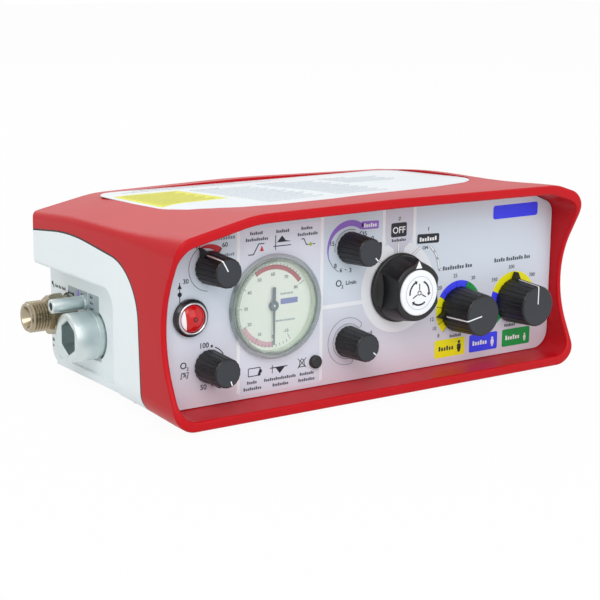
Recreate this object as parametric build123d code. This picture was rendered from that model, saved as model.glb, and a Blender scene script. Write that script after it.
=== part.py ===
"""Gas-powered transport ventilator, as an assembly of separate sub-parts.

Frame while modelling: X to the right, Y from the front lip to the back, Z up,
with X = 0 in the middle of the case, Y = 0 at the bottom lip of the hood and
Z = 0 under that lip. Every part is then moved so that the origin is at the
bottom centre of the whole assembly's box. All sizes are in millimetres.
"""
from build123d import *
import math
import os

# ---------------------------------------------------------------- case
CASE_HALF_WIDTH = 110.0
CASE_DEPTH = 132.0
CASE_WALL = 2.6
REAR_WALL = 3.0
REAR_EDGE_RADIUS = 6.0

LIP_TOP = 88.0              # crown of the hood's top lip
LIP_BOTTOM_WALL = 4.4       # floor thickness under the panel
LIP_TOP_WALL = 4.2          # top lip thickness
LIP_OVERHANG = 1.5          # top lip reaches this far ahead of the bottom lip
LIP_ROUND = 1.1             # rounding of both edges of the hood's lip
SIDE_SAG_REACH = 16.0       # corner that the hollow side edge of the hood is rounded from
SIDE_SAG_HEIGHT = 41.0
SIDE_SAG_FOOT = 8.0
SIDE_SAG_HEAD = 75.0
SIDE_SAG_RADIUS = 48.0
SIDE_SAG_EASE = 16.0        # radius where the side edge eases into the straight lips
CASE_FLOOR = 2.0            # underside of the case behind the hood
CASE_FLOOR_WALL = 3.0
CASE_ROOF_WALL = 5.2        # crown of the top to the inside, under the label recess
REAR_DROP = 6.0             # crown of the top falls this much to the back edge
CREASE_HEIGHT = 76.5        # where the side turns into the top, at mid depth
SHOULDER_WIDTH = 32.0       # the top is nearly flat up to this far from the left side
RIGHT_SHOULDER_WIDTH = 14.0  # and up to this far from the right side
SHOULDER_RADIUS = 60.0
RIGHT_SHOULDER_RADIUS = 22.0
CROWN_RADIUS = 800.0
BOTTOM_RADIUS = 10.0
REAR_BOTTOM_RADIUS = 8.0
CREASE_RADIUS = 3.5
CREASE_EASE = 5.5           # the crease is this much rounder at the hood

# seam between the cover and the lower case, in side view
SEAM_REAR_Z = 63.6
SEAM_CREST_Y = CASE_DEPTH - 40.0
SEAM_CREST_Z = 70.2
SEAM_SHOULDER_Y = 31.0
SEAM_SHOULDER_Z = 63.5
SEAM_FOOT_Y = 25.3
SEAM_CREST_RADIUS = 150.0
SEAM_SHOULDER_RADIUS = 26.0
SEAL_THICKNESS = 0.8

# ---------------------------------------------------------------- panel
PANEL_FACE = 16.0           # front of the printed overlay
OVERLAY_THICKNESS = 0.4
PANEL_THICKNESS = 2.4
PANEL_GAP = 0.3
PANEL_BACK = PANEL_FACE + OVERLAY_THICKNESS + PANEL_THICKNESS
RIM_DEPTH = 2.6             # ledge that the panel is screwed to
RIM_BACK = PANEL_BACK + RIM_DEPTH
RIM_WIDTH = 5.5
PANEL_SCREW_RADIUS = 1.25
PANEL_SCREW_HEAD = 2.3
PANEL_SCREW_HEAD_DEPTH = 1.1
PANEL_SCREW_INSET = 3.0     # screw line to the inside of the hood

# ---------------------------------------------------------------- controls
SPINDLE_RADIUS = 2.0
BUSH_WALL = 1.5
BUSH_RADIUS = SPINDLE_RADIUS + BUSH_WALL
BUSH_REACH = 3.0            # bush in front of the overlay
FIT = 0.05                  # running clearance of spindles in their bushes
HOLE_GAP = 0.2
KNOB_GAP = 0.5              # knob skirt to overlay
NUT_FLATS = 2 * BUSH_RADIUS + 2.0
NUT_THICKNESS = 1.8
KNOB_RECESS = NUT_FLATS / math.sqrt(3) + KNOB_GAP
KNOB_SOLID_FACE = 3.0       # knob face to the end of its spindle
SPINDLE_SEAT = 12.0         # spindle inside the valve body
GRIP_FLUTES = 18
POINTER_REACH = 3.2
POINTER_DEPTH = 3.0

SMALL_KNOB_RADIUS = 7.1
SMALL_KNOB_FACE_RADIUS = 6.2
SMALL_KNOB_LENGTH = 14.8
LARGE_KNOB_RADIUS = 10.6
LARGE_KNOB_FACE_RADIUS = 9.5
LARGE_KNOB_LENGTH = 17.0
MODE_KNOB_RADIUS = 15.7
MODE_GRIP_RADIUS = 11.6
MODE_KNOB_LENGTH = 14.2
MODE_CAP_RADIUS = 10.2
MODE_CAP_THICKNESS = 1.4
MODE_SCALLOPS = 8
MODE_SCALLOP_RADIUS = 3.6
MODE_SCALLOP_DEPTH = 1.8

# centre of each control on the panel: X, Z
LEFT_WALL_X = -CASE_HALF_WIDTH
RIGHT_WALL_X = CASE_HALF_WIDTH
ALARM_AT = (LEFT_WALL_X + 25.8, 64.0)
OXYGEN_AT = (LEFT_WALL_X + 25.3, 22.4)
INDICATOR_AT = (LEFT_WALL_X + 16.2, 44.1)
GAUGE_AT = (LEFT_WALL_X + 57.8, 44.1)
SILENCE_AT = (LEFT_WALL_X + 79.1, 16.8)
FLOW_AT = (-12.8, 65.5)
PEEP_AT = (-13.2, 23.5)
MODE_AT = (14.4, 44.9)
RATE_AT = (RIGHT_WALL_X - 59.5, 30.6)
VOLUME_AT = (RIGHT_WALL_X - 26.0, 31.0)

# the way each knob points at rest, in degrees clockwise from straight up
ALARM_POINTS = -30.0
OXYGEN_POINTS = 160.0
FLOW_POINTS = 135.0
PEEP_POINTS = 130.0
MODE_POINTS = 0.0
RATE_POINTS = -100.0
VOLUME_POINTS = 0.0

# valve bodies behind the panel: radius, length
SMALL_VALVE = (8.0, 21.0)
LARGE_VALVE = (11.0, 30.0)
MODE_VALVE = (15.5, 42.0)

# ---------------------------------------------------------------- gauge
GAUGE_CASE_RADIUS = 20.6
BEZEL_WIDTH = 2.0
GAUGE_RADIUS = GAUGE_CASE_RADIUS + BEZEL_WIDTH
GAUGE_CASE_WALL = 1.2
GAUGE_PROUD = 4.0           # bezel stands this far off the overlay
GAUGE_DEPTH = 21.4          # case behind the panel
BEZEL_LIP = 2.6
LENS_THICKNESS = 1.6
DIAL_THICKNESS = 0.8
NEEDLE_LENGTH = 17.0
TAIL_LENGTH = 8.0
ARBOR_RADIUS = 0.6

# ---------------------------------------------------------------- indicator
INDICATOR_RADIUS = 7.9
INDICATOR_TUBE_RADIUS = 6.6
INDICATOR_PROUD = 2.6
ROTOR_RADIUS = 4.9

# ---------------------------------------------------------------- button
BUTTON_RADIUS = 2.9
BUTTON_PROUD = 2.2
BUTTON_TRAVEL = 0.8

# ---------------------------------------------------------------- ports
BAY_DEPTH = 9.5             # connector wall set in from the side of the case
BAY_WALL_X = LEFT_WALL_X + BAY_DEPTH
BAY_FRONT_Y = 54.0
BAY_TOP_Z = 49.6
BAY_RADIUS = 8.0
BAY_WALL = 3.0
BAY_ROUND = 2.2             # rounding of the bay's edge on the side of the case
LEDGE_PROUD = 1.4           # step along the foot of the connector wall
LEDGE_TOP = 5.4

INLET_AT = (CASE_DEPTH - 19.0, 28.7)    # Y, Z
INLET_MOUTH_X = BAY_WALL_X - 21.5
INLET_THREAD_RADIUS = 7.14
INLET_THREAD_ROOT = 6.35
INLET_THREAD_PITCH = 1.41
INLET_THREAD_TURNS = 6
INLET_TAIL_RADIUS = 8.0     # plain part that passes through the wall
INLET_BORE_RADIUS = 3.0
INLET_HEX_FLATS = 16.5
INLET_HEX_LENGTH = 7.0
INLET_HOLE_RADIUS = INLET_TAIL_RADIUS + 1.2
INLET_CONE_RADIUS = 5.0

OUTLET_AT = (CASE_DEPTH - 44.0, 23.2)
OUTLET_MOUTH_X = BAY_WALL_X - 14.0
OUTLET_RADIUS = 11.0        # 22 mm outside cone
OUTLET_BORE_RADIUS = 7.5    # 15 mm inside cone
OUTLET_BORE_DEPTH = 3.5
OUTLET_HEX_FLATS = 12.8
OUTLET_CLEARANCE = 0.9
OUTLET_FLANGE = 2.4

SPIGOT_RADIUS = 3.2
SPIGOT_COLLAR_RADIUS = 3.6
SPIGOT_COLLAR_PROUD = 1.5
SPIGOT_BORE_RADIUS = 1.3
SPIGOT_MOUTH_X = BAY_WALL_X - 17.0
SPIGOT_ANGLE = math.radians(55.3)       # up from the outlet, towards the back
SPIGOT_DISTANCE = OUTLET_RADIUS + SPIGOT_RADIUS + 1.6
SPIGOT_AT = (
    OUTLET_AT[0] + SPIGOT_DISTANCE * math.cos(SPIGOT_ANGLE),
    OUTLET_AT[1] + SPIGOT_DISTANCE * math.sin(SPIGOT_ANGLE),
)

# ---------------------------------------------------------------- inside
BOARD_THICKNESS = 1.6
BOARD_GAP = 2.8             # back of the gauge to the board
BOARD_Y = PANEL_BACK + GAUGE_DEPTH + BOARD_GAP
BOARD_SPAN = ((GAUGE_AT[0] - 20.8, GAUGE_AT[0] + 31.2), (12.0, 76.0))   # X, Z
SPACER_INSET = 2.5
SPACER_RADIUS = 1.8
SPACER_PIN_RADIUS = 1.0
LAMP_RADIUS = 1.5
SOUNDER_RADIUS = 11.0
SOUNDER_DEPTH = 7.0
BATTERY_RADIUS = 7.2
BATTERY_LENGTH = 50.0
BATTERY_AT = (RIGHT_WALL_X - 32.0, 36.0)   # X, Z
BATTERY_GAP = 0.4
CAP_RADIUS = BATTERY_RADIUS + 3.3
CAP_THICKNESS = 2.4
CAP_PLUG_LENGTH = 3.0
CAP_SEAT_WALL = 2.4
MOVING_GAP = 0.3
PIPE_RADIUS = 2.0
PIPE_WALL = 0.6
PIPE_BEND = 10.0
PIPE_HEIGHTS = (34.0, 28.0, 22.5, 19.5)     # to mode, rate, volume and PEEP valves
MANIFOLD_WIDTH = 32.0
MANIFOLD_TOP = 44.0
REGULATOR_LENGTH = 34.0
REGULATOR_HALF_DEPTH = 11.0
REGULATOR_TOP = 40.0
BONNET_RADIUS = 9.0
BONNET_HEIGHT = 10.0
FOOT_RADIUS = 6.5
FOOT_SEAT = 1.0             # foot let into the floor
FOOT_PROUD = 3.5            # foot below the floor, which also lifts the hood
FOOT_PLACES = [
    (LEFT_WALL_X + 22.0, 40.0),
    (RIGHT_WALL_X - 22.0, 40.0),
    (LEFT_WALL_X + 26.0, CASE_DEPTH - 14.0),
    (RIGHT_WALL_X - 22.0, CASE_DEPTH - 14.0),
]

# case screws run up through posts of the lower case into posts of the cover
POST_RADIUS = 4.5
POST_SPLIT_Z = 30.0
POST_PLACES = [
    (LEFT_WALL_X + 10.0, 46.0),
    (RIGHT_WALL_X - 10.0, 46.0),
    (LEFT_WALL_X + 60.0, CASE_DEPTH - 10.0),
    (RIGHT_WALL_X - 11.0, CASE_DEPTH - 11.0),
]
SCREW_RADIUS = 2.0
SCREW_HEAD_RADIUS = 3.6
SCREW_HEAD_HEIGHT = 2.4
SCREW_TIP_Z = 44.0

# ---------------------------------------------------------------- label
LABEL_FRONT_Z = 83.2
LABEL_REAR_Z = 81.0
LABEL_FRONT_Y = 46.0
LABEL_REAR_Y = CASE_DEPTH - 12.0
LABEL_SIZE = (2 * CASE_HALF_WIDTH - 46.0, LABEL_REAR_Y - LABEL_FRONT_Y)
LABEL_AT = (1.0, (LABEL_FRONT_Y + LABEL_REAR_Y) / 2)
LABEL_RADIUS = 14.0
LABEL_THICKNESS = 0.4
LABEL_GAP = 0.6

# status lamps about the gauge: X and Z from its middle
LAMP_PLACES = [
    (GAUGE_AT[0] + across, GAUGE_AT[1] + up)
    for across, up in [(-9.2, 24.5), (4.1, 27.1), (17.1, 24.7), (-9.4, -27.1), (3.0, -27.5), (14.0, -26.2)]
]


# ---------------------------------------------------------------- helpers
def rod_y(at, radius, y_start, y_end):
    """A round bar along Y, centred on the point (X, Z)."""
    middle = (y_start + y_end) / 2
    return Pos(at[0], middle, at[1]) * Rot(90, 0, 0) * Cylinder(radius, abs(y_end - y_start))


def rod_x(at, radius, x_start, x_end):
    """A round bar along X, centred on the point (Y, Z)."""
    middle = (x_start + x_end) / 2
    return Pos(middle, at[0], at[1]) * Rot(0, 90, 0) * Cylinder(radius, abs(x_end - x_start))


def cone_y(at, radius_start, radius_end, y_start, y_end):
    """A tapered round bar along Y: radius_start at y_start, radius_end at y_end."""
    middle = (y_start + y_end) / 2
    bar = Cone(radius_start, radius_end, y_end - y_start)
    return Pos(at[0], middle, at[1]) * Rot(-90, 0, 0) * bar


def cone_x(at, radius_start, radius_end, x_start, x_end):
    """A tapered round bar along X: radius_start at x_start, radius_end at x_end."""
    middle = (x_start + x_end) / 2
    bar = Cone(radius_start, radius_end, x_end - x_start)
    return Pos(middle, at[0], at[1]) * Rot(0, 90, 0) * bar


def block(x_range, y_range, z_range):
    """A box between two corners."""
    size = [b - a for a, b in (x_range, y_range, z_range)]
    middle = [(a + b) / 2 for a, b in (x_range, y_range, z_range)]
    return Pos(*middle) * Box(*size)


def hex_x(at, flats, x_start, x_end):
    """A hexagonal bar along X, measured across its flats."""
    outline = RegularPolygon(flats / 2, 6, major_radius=False)
    bar = extrude(outline, x_end - x_start)
    return Pos(x_start, at[0], at[1]) * Rot(0, 90, 0) * bar


def hex_y(at, flats, y_start, y_end):
    """A hexagonal bar along Y, measured across its flats."""
    outline = RegularPolygon(flats / 2, 6, major_radius=False)
    bar = extrude(outline, y_end - y_start)
    return Pos(at[0], y_start, at[1]) * Rot(-90, 0, 0) * bar


def turned(shape, at, degrees):
    """A shape turned clockwise, as seen from the front, about the Y line through (X, Z)."""
    return Pos(at[0], 0, at[1]) * Rot(0, degrees, 0) * Pos(-at[0], 0, -at[1]) * shape


# ---------------------------------------------------------------- case envelope
def top_shape(y):
    """Heights of the top at depth y: left crease, left shoulder, crown, right shoulder."""
    front = max(0.0, 1.0 - max(y, 0.0) / 45.0)
    back = max(0.0, (y - 60.0) / (CASE_DEPTH - 60.0))
    fall = REAR_DROP * back ** 2
    crown = LIP_TOP - 2.0 * (1.0 - front) - 0.7 * fall
    crease = CREASE_HEIGHT - 0.55 * fall
    return front, fall, crown, crease


def section(y, inset=0.0, top_inset=0.0, bottom_inset=0.0):
    """One cross-section of the case at depth y, as a face, pulled in by the wall."""
    front, fall, crown, crease = top_shape(y)
    half = CASE_HALF_WIDTH - inset
    bottom = CASE_FLOOR * (1.0 - front) + bottom_inset
    left_shoulder = CASE_HALF_WIDTH - SHOULDER_WIDTH - 6.0 * front
    right_shoulder = half - RIGHT_SHOULDER_WIDTH - 2.0 * front
    shoulder_drop = 1.5 - 0.7 * front + 0.08 * fall
    left_crease = crease + 2.5 * front - top_inset
    right_crease = crease + 5.5 * front - top_inset
    points = [
        (-half, bottom),
        (-half, left_crease),
        (-left_shoulder, crown - shoulder_drop - top_inset),
        (0, crown - top_inset),
        (right_shoulder, crown - shoulder_drop - top_inset),
        (half, right_crease),
        (half, bottom),
    ]
    low = BOTTOM_RADIUS - 0.5 * inset
    crease_radius = CREASE_RADIUS + CREASE_EASE * front - 0.3 * inset
    top_arcs = [SHOULDER_RADIUS, CROWN_RADIUS, RIGHT_SHOULDER_RADIUS]
    arcs = [low, crease_radius, *top_arcs, crease_radius, low]
    outline = FilletPolyline(*points, radius=arcs, close=True)
    plane = Plane(origin=(0, y, 0), x_dir=(1, 0, 0), z_dir=(0, -1, 0))
    return plane * make_face(outline)


def lofted(stations, **insets):
    """A solid through the case's cross-sections at the given depths."""
    return loft([section(y, **insets) for y in stations])


# ---------------------------------------------------------------- shells
def outer_body():
    """The whole outside of the case, with its rear corners rounded."""
    body = lofted([-6.0, 0.0, 25.0, 70.0, 105.0, CASE_DEPTH])
    plan = block((-CASE_HALF_WIDTH - 1, CASE_HALF_WIDTH + 1), (-20, CASE_DEPTH), (-20, 120))
    rear = plan.edges().filter_by(Axis.Z).group_by(Axis.Y)[-1]
    return (body & fillet(rear, REAR_EDGE_RADIUS)) - rear_bottom_cut()


def rear_bottom_cut():
    """What is cut off along the rear bottom edge to round it."""
    arc_y = CASE_DEPTH - REAR_BOTTOM_RADIUS
    arc_z = CASE_FLOOR + REAR_BOTTOM_RADIUS
    reach = CASE_HALF_WIDTH + 5
    corner = block((-reach, reach), (arc_y, CASE_DEPTH + 5), (CASE_FLOOR - 5, arc_z))
    return corner - rod_x((arc_y, arc_z), REAR_BOTTOM_RADIUS, -reach - 1, reach + 1)


def seam_region(shift=0.0):
    """All that is above and ahead of the seam, as a solid, moved out by shift."""
    low = -40.0
    path = FilletPolyline(
        (CASE_DEPTH + 20, SEAM_REAR_Z - shift),
        (SEAM_CREST_Y, SEAM_CREST_Z - shift),
        (SEAM_SHOULDER_Y + shift, SEAM_SHOULDER_Z - shift),
        (SEAM_FOOT_Y + shift, low),
        radius=[SEAM_CREST_RADIUS, SEAM_SHOULDER_RADIUS - shift],
    )
    close = Polyline(
        (SEAM_FOOT_Y + shift, low),
        (-40, low),
        (-40, 140),
        (CASE_DEPTH + 20, 140),
        (CASE_DEPTH + 20, SEAM_REAR_Z - shift),
    )
    return across(make_face(path + close))


def across(face):
    """A face drawn as (Y, Z), stretched across the whole width."""
    reach = CASE_HALF_WIDTH + 40
    plane = Plane(origin=(-reach, 0, 0), x_dir=(0, 1, 0), z_dir=(1, 0, 0))
    return extrude(plane * face, 2 * reach)


def front_cut():
    """What is cut off the front: the lips' faces and the hollow side edges."""
    low = -40.0
    high = 140.0
    side = FilletPolyline(
        (0, low),
        (0, SIDE_SAG_FOOT),
        (SIDE_SAG_REACH, SIDE_SAG_HEIGHT),
        (-LIP_OVERHANG, SIDE_SAG_HEAD),
        (-LIP_OVERHANG, high),
        radius=[SIDE_SAG_EASE, SIDE_SAG_RADIUS, SIDE_SAG_EASE],
    )
    rest = Polyline((-LIP_OVERHANG, high), (-40, high), (-40, low), (0, low))
    return across(make_face(side + rest))


def lip_edges(hood, cut):
    """The inner and outer edges of the lip, where the cut left its face."""
    edges = []
    for edge in hood.edges():
        spots = [Vertex(*edge.position_at(share)) for share in (0.05, 0.5, 0.95)]
        if max(cut.distance_to(spot) for spot in spots) < 0.001:
            edges.append(edge)
    return edges


def hood_recess():
    """The space in front of the panel."""
    return lofted(
        [-10.0, 0.0, PANEL_BACK],
        inset=CASE_WALL,
        top_inset=LIP_TOP_WALL,
        bottom_inset=LIP_BOTTOM_WALL,
    )


def rim_window():
    """The way through the rim, behind the panel."""
    return lofted(
        [PANEL_BACK - 1, RIM_BACK + 1],
        inset=CASE_WALL + RIM_WIDTH,
        top_inset=LIP_TOP_WALL + RIM_WIDTH,
        bottom_inset=LIP_BOTTOM_WALL + RIM_WIDTH,
    )


def bay(grow=0.0):
    """The hollow at the left rear that holds the connectors, open behind and below."""
    space = block(
        (-CASE_HALF_WIDTH - 10, BAY_WALL_X + grow),
        (BAY_FRONT_Y - grow, CASE_DEPTH + 10),
        (-20, BAY_TOP_Z + grow),
    )
    corner = space.edges().filter_by(Axis.X).group_by(Axis.Y)[0].sort_by(Axis.Z)[-1]
    return fillet(corner, BAY_RADIUS + grow)


def cavity():
    """The inside of the case behind the rim, clear of the connector bay's walls."""
    inside = lofted(
        [RIM_BACK, 45.0, 70.0, 105.0, CASE_DEPTH - REAR_WALL],
        inset=CASE_WALL,
        top_inset=CASE_ROOF_WALL,
        bottom_inset=CASE_FLOOR_WALL,
    )
    return inside - bay(BAY_WALL)


def walls():
    """Cover and lower case in one, before the seam parts them."""
    cut = front_cut()
    hood = outer_body() - hood_recess() - cut
    hood = fillet(lip_edges(hood, cut), LIP_ROUND)
    return hood - rim_window() - cavity()


def label_recess(grow, depth_down, height):
    """The tilted rounded pocket on top, or with grow < 0 the label that lies in it."""
    length = LABEL_SIZE[1]
    tilt = math.degrees(math.atan2(LABEL_FRONT_Z - LABEL_REAR_Z, length))
    middle_z = (LABEL_FRONT_Z + LABEL_REAR_Z) / 2
    outline = RectangleRounded(LABEL_SIZE[0] + 2 * grow, length + 2 * grow, LABEL_RADIUS + grow)
    tile = extrude(outline, height)
    return Pos(LABEL_AT[0], LABEL_AT[1], middle_z) * Rot(-tilt, 0, 0) * Pos(0, 0, depth_down) * tile


def cover_posts():
    """Posts inside the cover that take the case screws."""
    posts = Part()
    for x, y in POST_PLACES:
        posts += Pos(x, y, (POST_SPLIT_Z + 100) / 2) * Cylinder(POST_RADIUS, 100 - POST_SPLIT_Z)
    limit = lofted([RIM_BACK, 45.0, 70.0, 105.0, CASE_DEPTH], inset=1.0, top_inset=2.6)
    return posts & limit


def screw_shaft(x, y, radius, z_start, z_end):
    """An upright round bar for a case screw or its hole."""
    return Pos(x, y, (z_start + z_end) / 2) * Cylinder(radius, z_end - z_start)


def top_cover(shell):
    """Red cover and hood, one moulding with the rim that carries the panel."""
    cover = shell & seam_region()
    cover -= label_recess(0.0, 0.0, 20.0)
    cover += cover_posts()
    for x, y in POST_PLACES:
        cover -= screw_shaft(x, y, SCREW_RADIUS, POST_SPLIT_Z - 1, SCREW_TIP_Z + 1)
    for at in panel_screw_places():
        cover -= rod_y(at, PANEL_SCREW_RADIUS, PANEL_BACK - 1, RIM_BACK + 1)
    return cover


def case_seal(shell):
    """Elastomer strip in the seam between cover and lower case."""
    return (shell & seam_region(SEAL_THICKNESS)) - seam_region()


def battery_well():
    """Tube and boss inside the rear wall that hold the alarm battery."""
    boss_front = CASE_DEPTH - CAP_THICKNESS - CAP_SEAT_WALL - MOVING_GAP
    tube_front = boss_front - BATTERY_LENGTH
    well = rod_y(BATTERY_AT, CAP_RADIUS + MOVING_GAP + CAP_SEAT_WALL, boss_front, CASE_DEPTH - 1)
    well += rod_y(BATTERY_AT, BATTERY_RADIUS + BATTERY_GAP + CAP_SEAT_WALL / 2, tube_front, CASE_DEPTH - 1)
    return well


def battery_space():
    """What is bored out of the well: battery, plug and cap flange."""
    flange_seat = CASE_DEPTH - CAP_THICKNESS - MOVING_GAP
    space = rod_y(BATTERY_AT, BATTERY_RADIUS + BATTERY_GAP, 40.0, CASE_DEPTH + 5)
    space += rod_y(BATTERY_AT, CAP_RADIUS + MOVING_GAP, flange_seat, CASE_DEPTH + 5)
    return space


def bay_cut(case):
    """The case with the connector bay cut out, its edge rounded and the ledge at its foot."""
    space = bay()
    case -= space
    rim = []
    for edge in case.edges():
        spots = [Vertex(*edge.position_at(share)) for share in (0.05, 0.5, 0.95)]
        touching = max(space.distance_to(spot) for spot in spots) < 0.001
        if touching and max(spot.X for spot in spots) < LEFT_WALL_X + REAR_EDGE_RADIUS:
            rim.append(edge)
    ledge = block(
        (BAY_WALL_X - LEDGE_PROUD, BAY_WALL_X + 1),
        (BAY_FRONT_Y - 1, CASE_DEPTH - REAR_BOTTOM_RADIUS),
        (CASE_FLOOR, LEDGE_TOP),
    )
    return fillet(rim, BAY_ROUND) + ledge


def lower_case(shell):
    """White lower case with the connector bay, posts, foot seats and battery well."""
    case = shell - seam_region(SEAL_THICKNESS)
    case = bay_cut(case)
    for x, y in POST_PLACES:
        case += screw_shaft(x, y, POST_RADIUS, CASE_FLOOR + 1, POST_SPLIT_Z)
    case += battery_well() & lofted([RIM_BACK, 70.0, CASE_DEPTH], inset=0.5)
    case -= battery_space()
    for x, y in POST_PLACES:
        case -= screw_shaft(x, y, SCREW_RADIUS + HOLE_GAP, -5, POST_SPLIT_Z + 1)
        head_top = CASE_FLOOR + SCREW_HEAD_HEIGHT
        case -= screw_shaft(x, y, SCREW_HEAD_RADIUS + HOLE_GAP, -5, head_top)
    for x, y in FOOT_PLACES:
        case -= screw_shaft(x, y, FOOT_RADIUS, -5, CASE_FLOOR + FOOT_SEAT)
    case -= rod_x(OUTLET_AT, OUTLET_RADIUS + OUTLET_CLEARANCE, BAY_WALL_X - 5, BAY_WALL_X + 8)
    case -= rod_x(INLET_AT, INLET_HOLE_RADIUS, BAY_WALL_X - 5, BAY_WALL_X + 8)
    case -= rod_x(SPIGOT_AT, SPIGOT_COLLAR_RADIUS, BAY_WALL_X - 5, BAY_WALL_X + 8)
    return case


def case_screws():
    """Four screws that hold the lower case to the cover."""
    screws = []
    for x, y in POST_PLACES:
        head_top = CASE_FLOOR + SCREW_HEAD_HEIGHT
        screw = screw_shaft(x, y, SCREW_HEAD_RADIUS, CASE_FLOOR, head_top)
        screw += screw_shaft(x, y, SCREW_RADIUS, head_top, SCREW_TIP_Z)
        slot = Pos(x, y, CASE_FLOOR) * Box(2 * SCREW_HEAD_RADIUS * 0.7, 0.9, 1.6)
        slot += Pos(x, y, CASE_FLOOR) * Box(0.9, 2 * SCREW_HEAD_RADIUS * 0.7, 1.6)
        screws.append(screw - slot)
    return screws


def rubber_feet():
    """Four round feet let into the floor."""
    feet = []
    for x, y in FOOT_PLACES:
        foot = screw_shaft(x, y, FOOT_RADIUS, CASE_FLOOR - FOOT_PROUD, CASE_FLOOR + FOOT_SEAT)
        foot = fillet(foot.edges().group_by(Axis.Z)[0], 1.0)
        feet.append(foot)
    return feet


# ---------------------------------------------------------------- panel
def panel_screw_places():
    """Eight screws along the rim: four corners and the middles of the sides."""
    half = CASE_HALF_WIDTH - CASE_WALL - PANEL_SCREW_INSET
    low = CASE_FLOOR * 0.36 + LIP_BOTTOM_WALL + PANEL_SCREW_INSET
    high = LIP_TOP - LIP_TOP_WALL - PANEL_SCREW_INSET - 2.0
    corner = 12.0
    places = [(x, low) for x in (-half + corner, -half / 3, half / 3, half - corner)]
    places += [(x, high) for x in (-half / 3 * 2, half / 3, half - 2 * corner)]
    places += [(-half, low + 30.0), (half, low + 30.0)]
    return places


CONTROLS = {
    "alarm_pressure": (ALARM_AT, ALARM_POINTS, "small"),
    "oxygen_mix": (OXYGEN_AT, OXYGEN_POINTS, "small"),
    "flow": (FLOW_AT, FLOW_POINTS, "small"),
    "peep": (PEEP_AT, PEEP_POINTS, "small"),
    "mode": (MODE_AT, MODE_POINTS, "mode"),
    "rate": (RATE_AT, RATE_POINTS, "large"),
    "volume": (VOLUME_AT, VOLUME_POINTS, "large"),
}


def openings(front, back):
    """Everything that passes through the overlay and the panel."""
    cuts = Part()
    for at, points, kind in CONTROLS.values():
        cuts += rod_y(at, BUSH_RADIUS + HOLE_GAP, front, back)
    cuts += rod_y(GAUGE_AT, GAUGE_CASE_RADIUS + HOLE_GAP, front, back)
    cuts += rod_y(INDICATOR_AT, INDICATOR_TUBE_RADIUS + HOLE_GAP, front, back)
    cuts += rod_y(SILENCE_AT, BUTTON_RADIUS + MOVING_GAP, front, back)
    return cuts


def front_panel():
    """Plate that carries every control, screwed to the rim of the hood."""
    start = PANEL_FACE + OVERLAY_THICKNESS
    plate = lofted(
        [start, PANEL_BACK],
        inset=CASE_WALL + PANEL_GAP,
        top_inset=LIP_TOP_WALL + PANEL_GAP,
        bottom_inset=LIP_BOTTOM_WALL + PANEL_GAP,
    )
    plate -= openings(start - 1, PANEL_BACK + 1)
    for at in LAMP_PLACES:
        plate -= rod_y(at, LAMP_RADIUS + HOLE_GAP, start - 1, PANEL_BACK + 1)
    for at in panel_screw_places():
        plate -= rod_y(at, PANEL_SCREW_RADIUS + HOLE_GAP, start - 1, PANEL_BACK + 1)
        plate -= rod_y(at, PANEL_SCREW_HEAD, start - 1, start + PANEL_SCREW_HEAD_DEPTH)
    return plate


def panel_overlay():
    """Thin printed sheet stuck on the front of the panel."""
    sheet = lofted(
        [PANEL_FACE, PANEL_FACE + OVERLAY_THICKNESS],
        inset=CASE_WALL + PANEL_GAP,
        top_inset=LIP_TOP_WALL + PANEL_GAP,
        bottom_inset=LIP_BOTTOM_WALL + PANEL_GAP,
    )
    return sheet - openings(PANEL_FACE - 1, PANEL_FACE + OVERLAY_THICKNESS + 1)


def panel_screws():
    """Countersunk screws that hold the panel to the rim, under the overlay."""
    start = PANEL_FACE + OVERLAY_THICKNESS
    screws = []
    for at in panel_screw_places():
        screw = rod_y(at, PANEL_SCREW_HEAD, start, start + PANEL_SCREW_HEAD_DEPTH)
        screw += rod_y(at, PANEL_SCREW_RADIUS, start + PANEL_SCREW_HEAD_DEPTH, RIM_BACK)
        screws.append(screw)
    return screws


# ---------------------------------------------------------------- controls
def knob_size(kind):
    """Skirt radius, face radius and length of a knob."""
    sizes = {
        "small": (SMALL_KNOB_RADIUS, SMALL_KNOB_FACE_RADIUS, SMALL_KNOB_LENGTH),
        "large": (LARGE_KNOB_RADIUS, LARGE_KNOB_FACE_RADIUS, LARGE_KNOB_LENGTH),
        "mode": (MODE_KNOB_RADIUS, MODE_GRIP_RADIUS, MODE_KNOB_LENGTH),
    }
    return sizes[kind]


def valve_size(kind):
    """Radius and length of the valve body behind a knob."""
    return {"small": SMALL_VALVE, "large": LARGE_VALVE, "mode": MODE_VALVE}[kind]


def pointer_fin(at, skirt, base):
    """The triangular pointer at the skirt of a knob."""
    root = skirt - 2.0
    tip = skirt + POINTER_REACH
    fin = Polyline((-2.6, root), (0, tip), (2.6, root), close=True)
    plane = Plane(origin=(at[0], base, at[1]), x_dir=(1, 0, 0), z_dir=(0, -1, 0))
    return extrude(plane * make_face(fin), POINTER_DEPTH)


def flutes(at, kind, base, face_y):
    """Shallow grip flutes down the side of a knob, following its taper."""
    skirt, face, length = knob_size(kind)
    lean = math.degrees(math.atan2(skirt - face, length))
    count = GRIP_FLUTES if kind == "small" else GRIP_FLUTES + 6
    first = 180 / count
    groove = 0.55
    middle = (skirt + face) / 2 + groove * 0.35
    cuts = []
    for step in range(count):
        bar = Pos(0, (base + face_y) / 2, middle) * Rot(90 + lean, 0, 0) * Cylinder(groove, length * 1.3)
        cuts.append(Pos(at[0], 0, at[1]) * Rot(0, first + step * 360 / count, 0) * bar)
    return cuts


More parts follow.
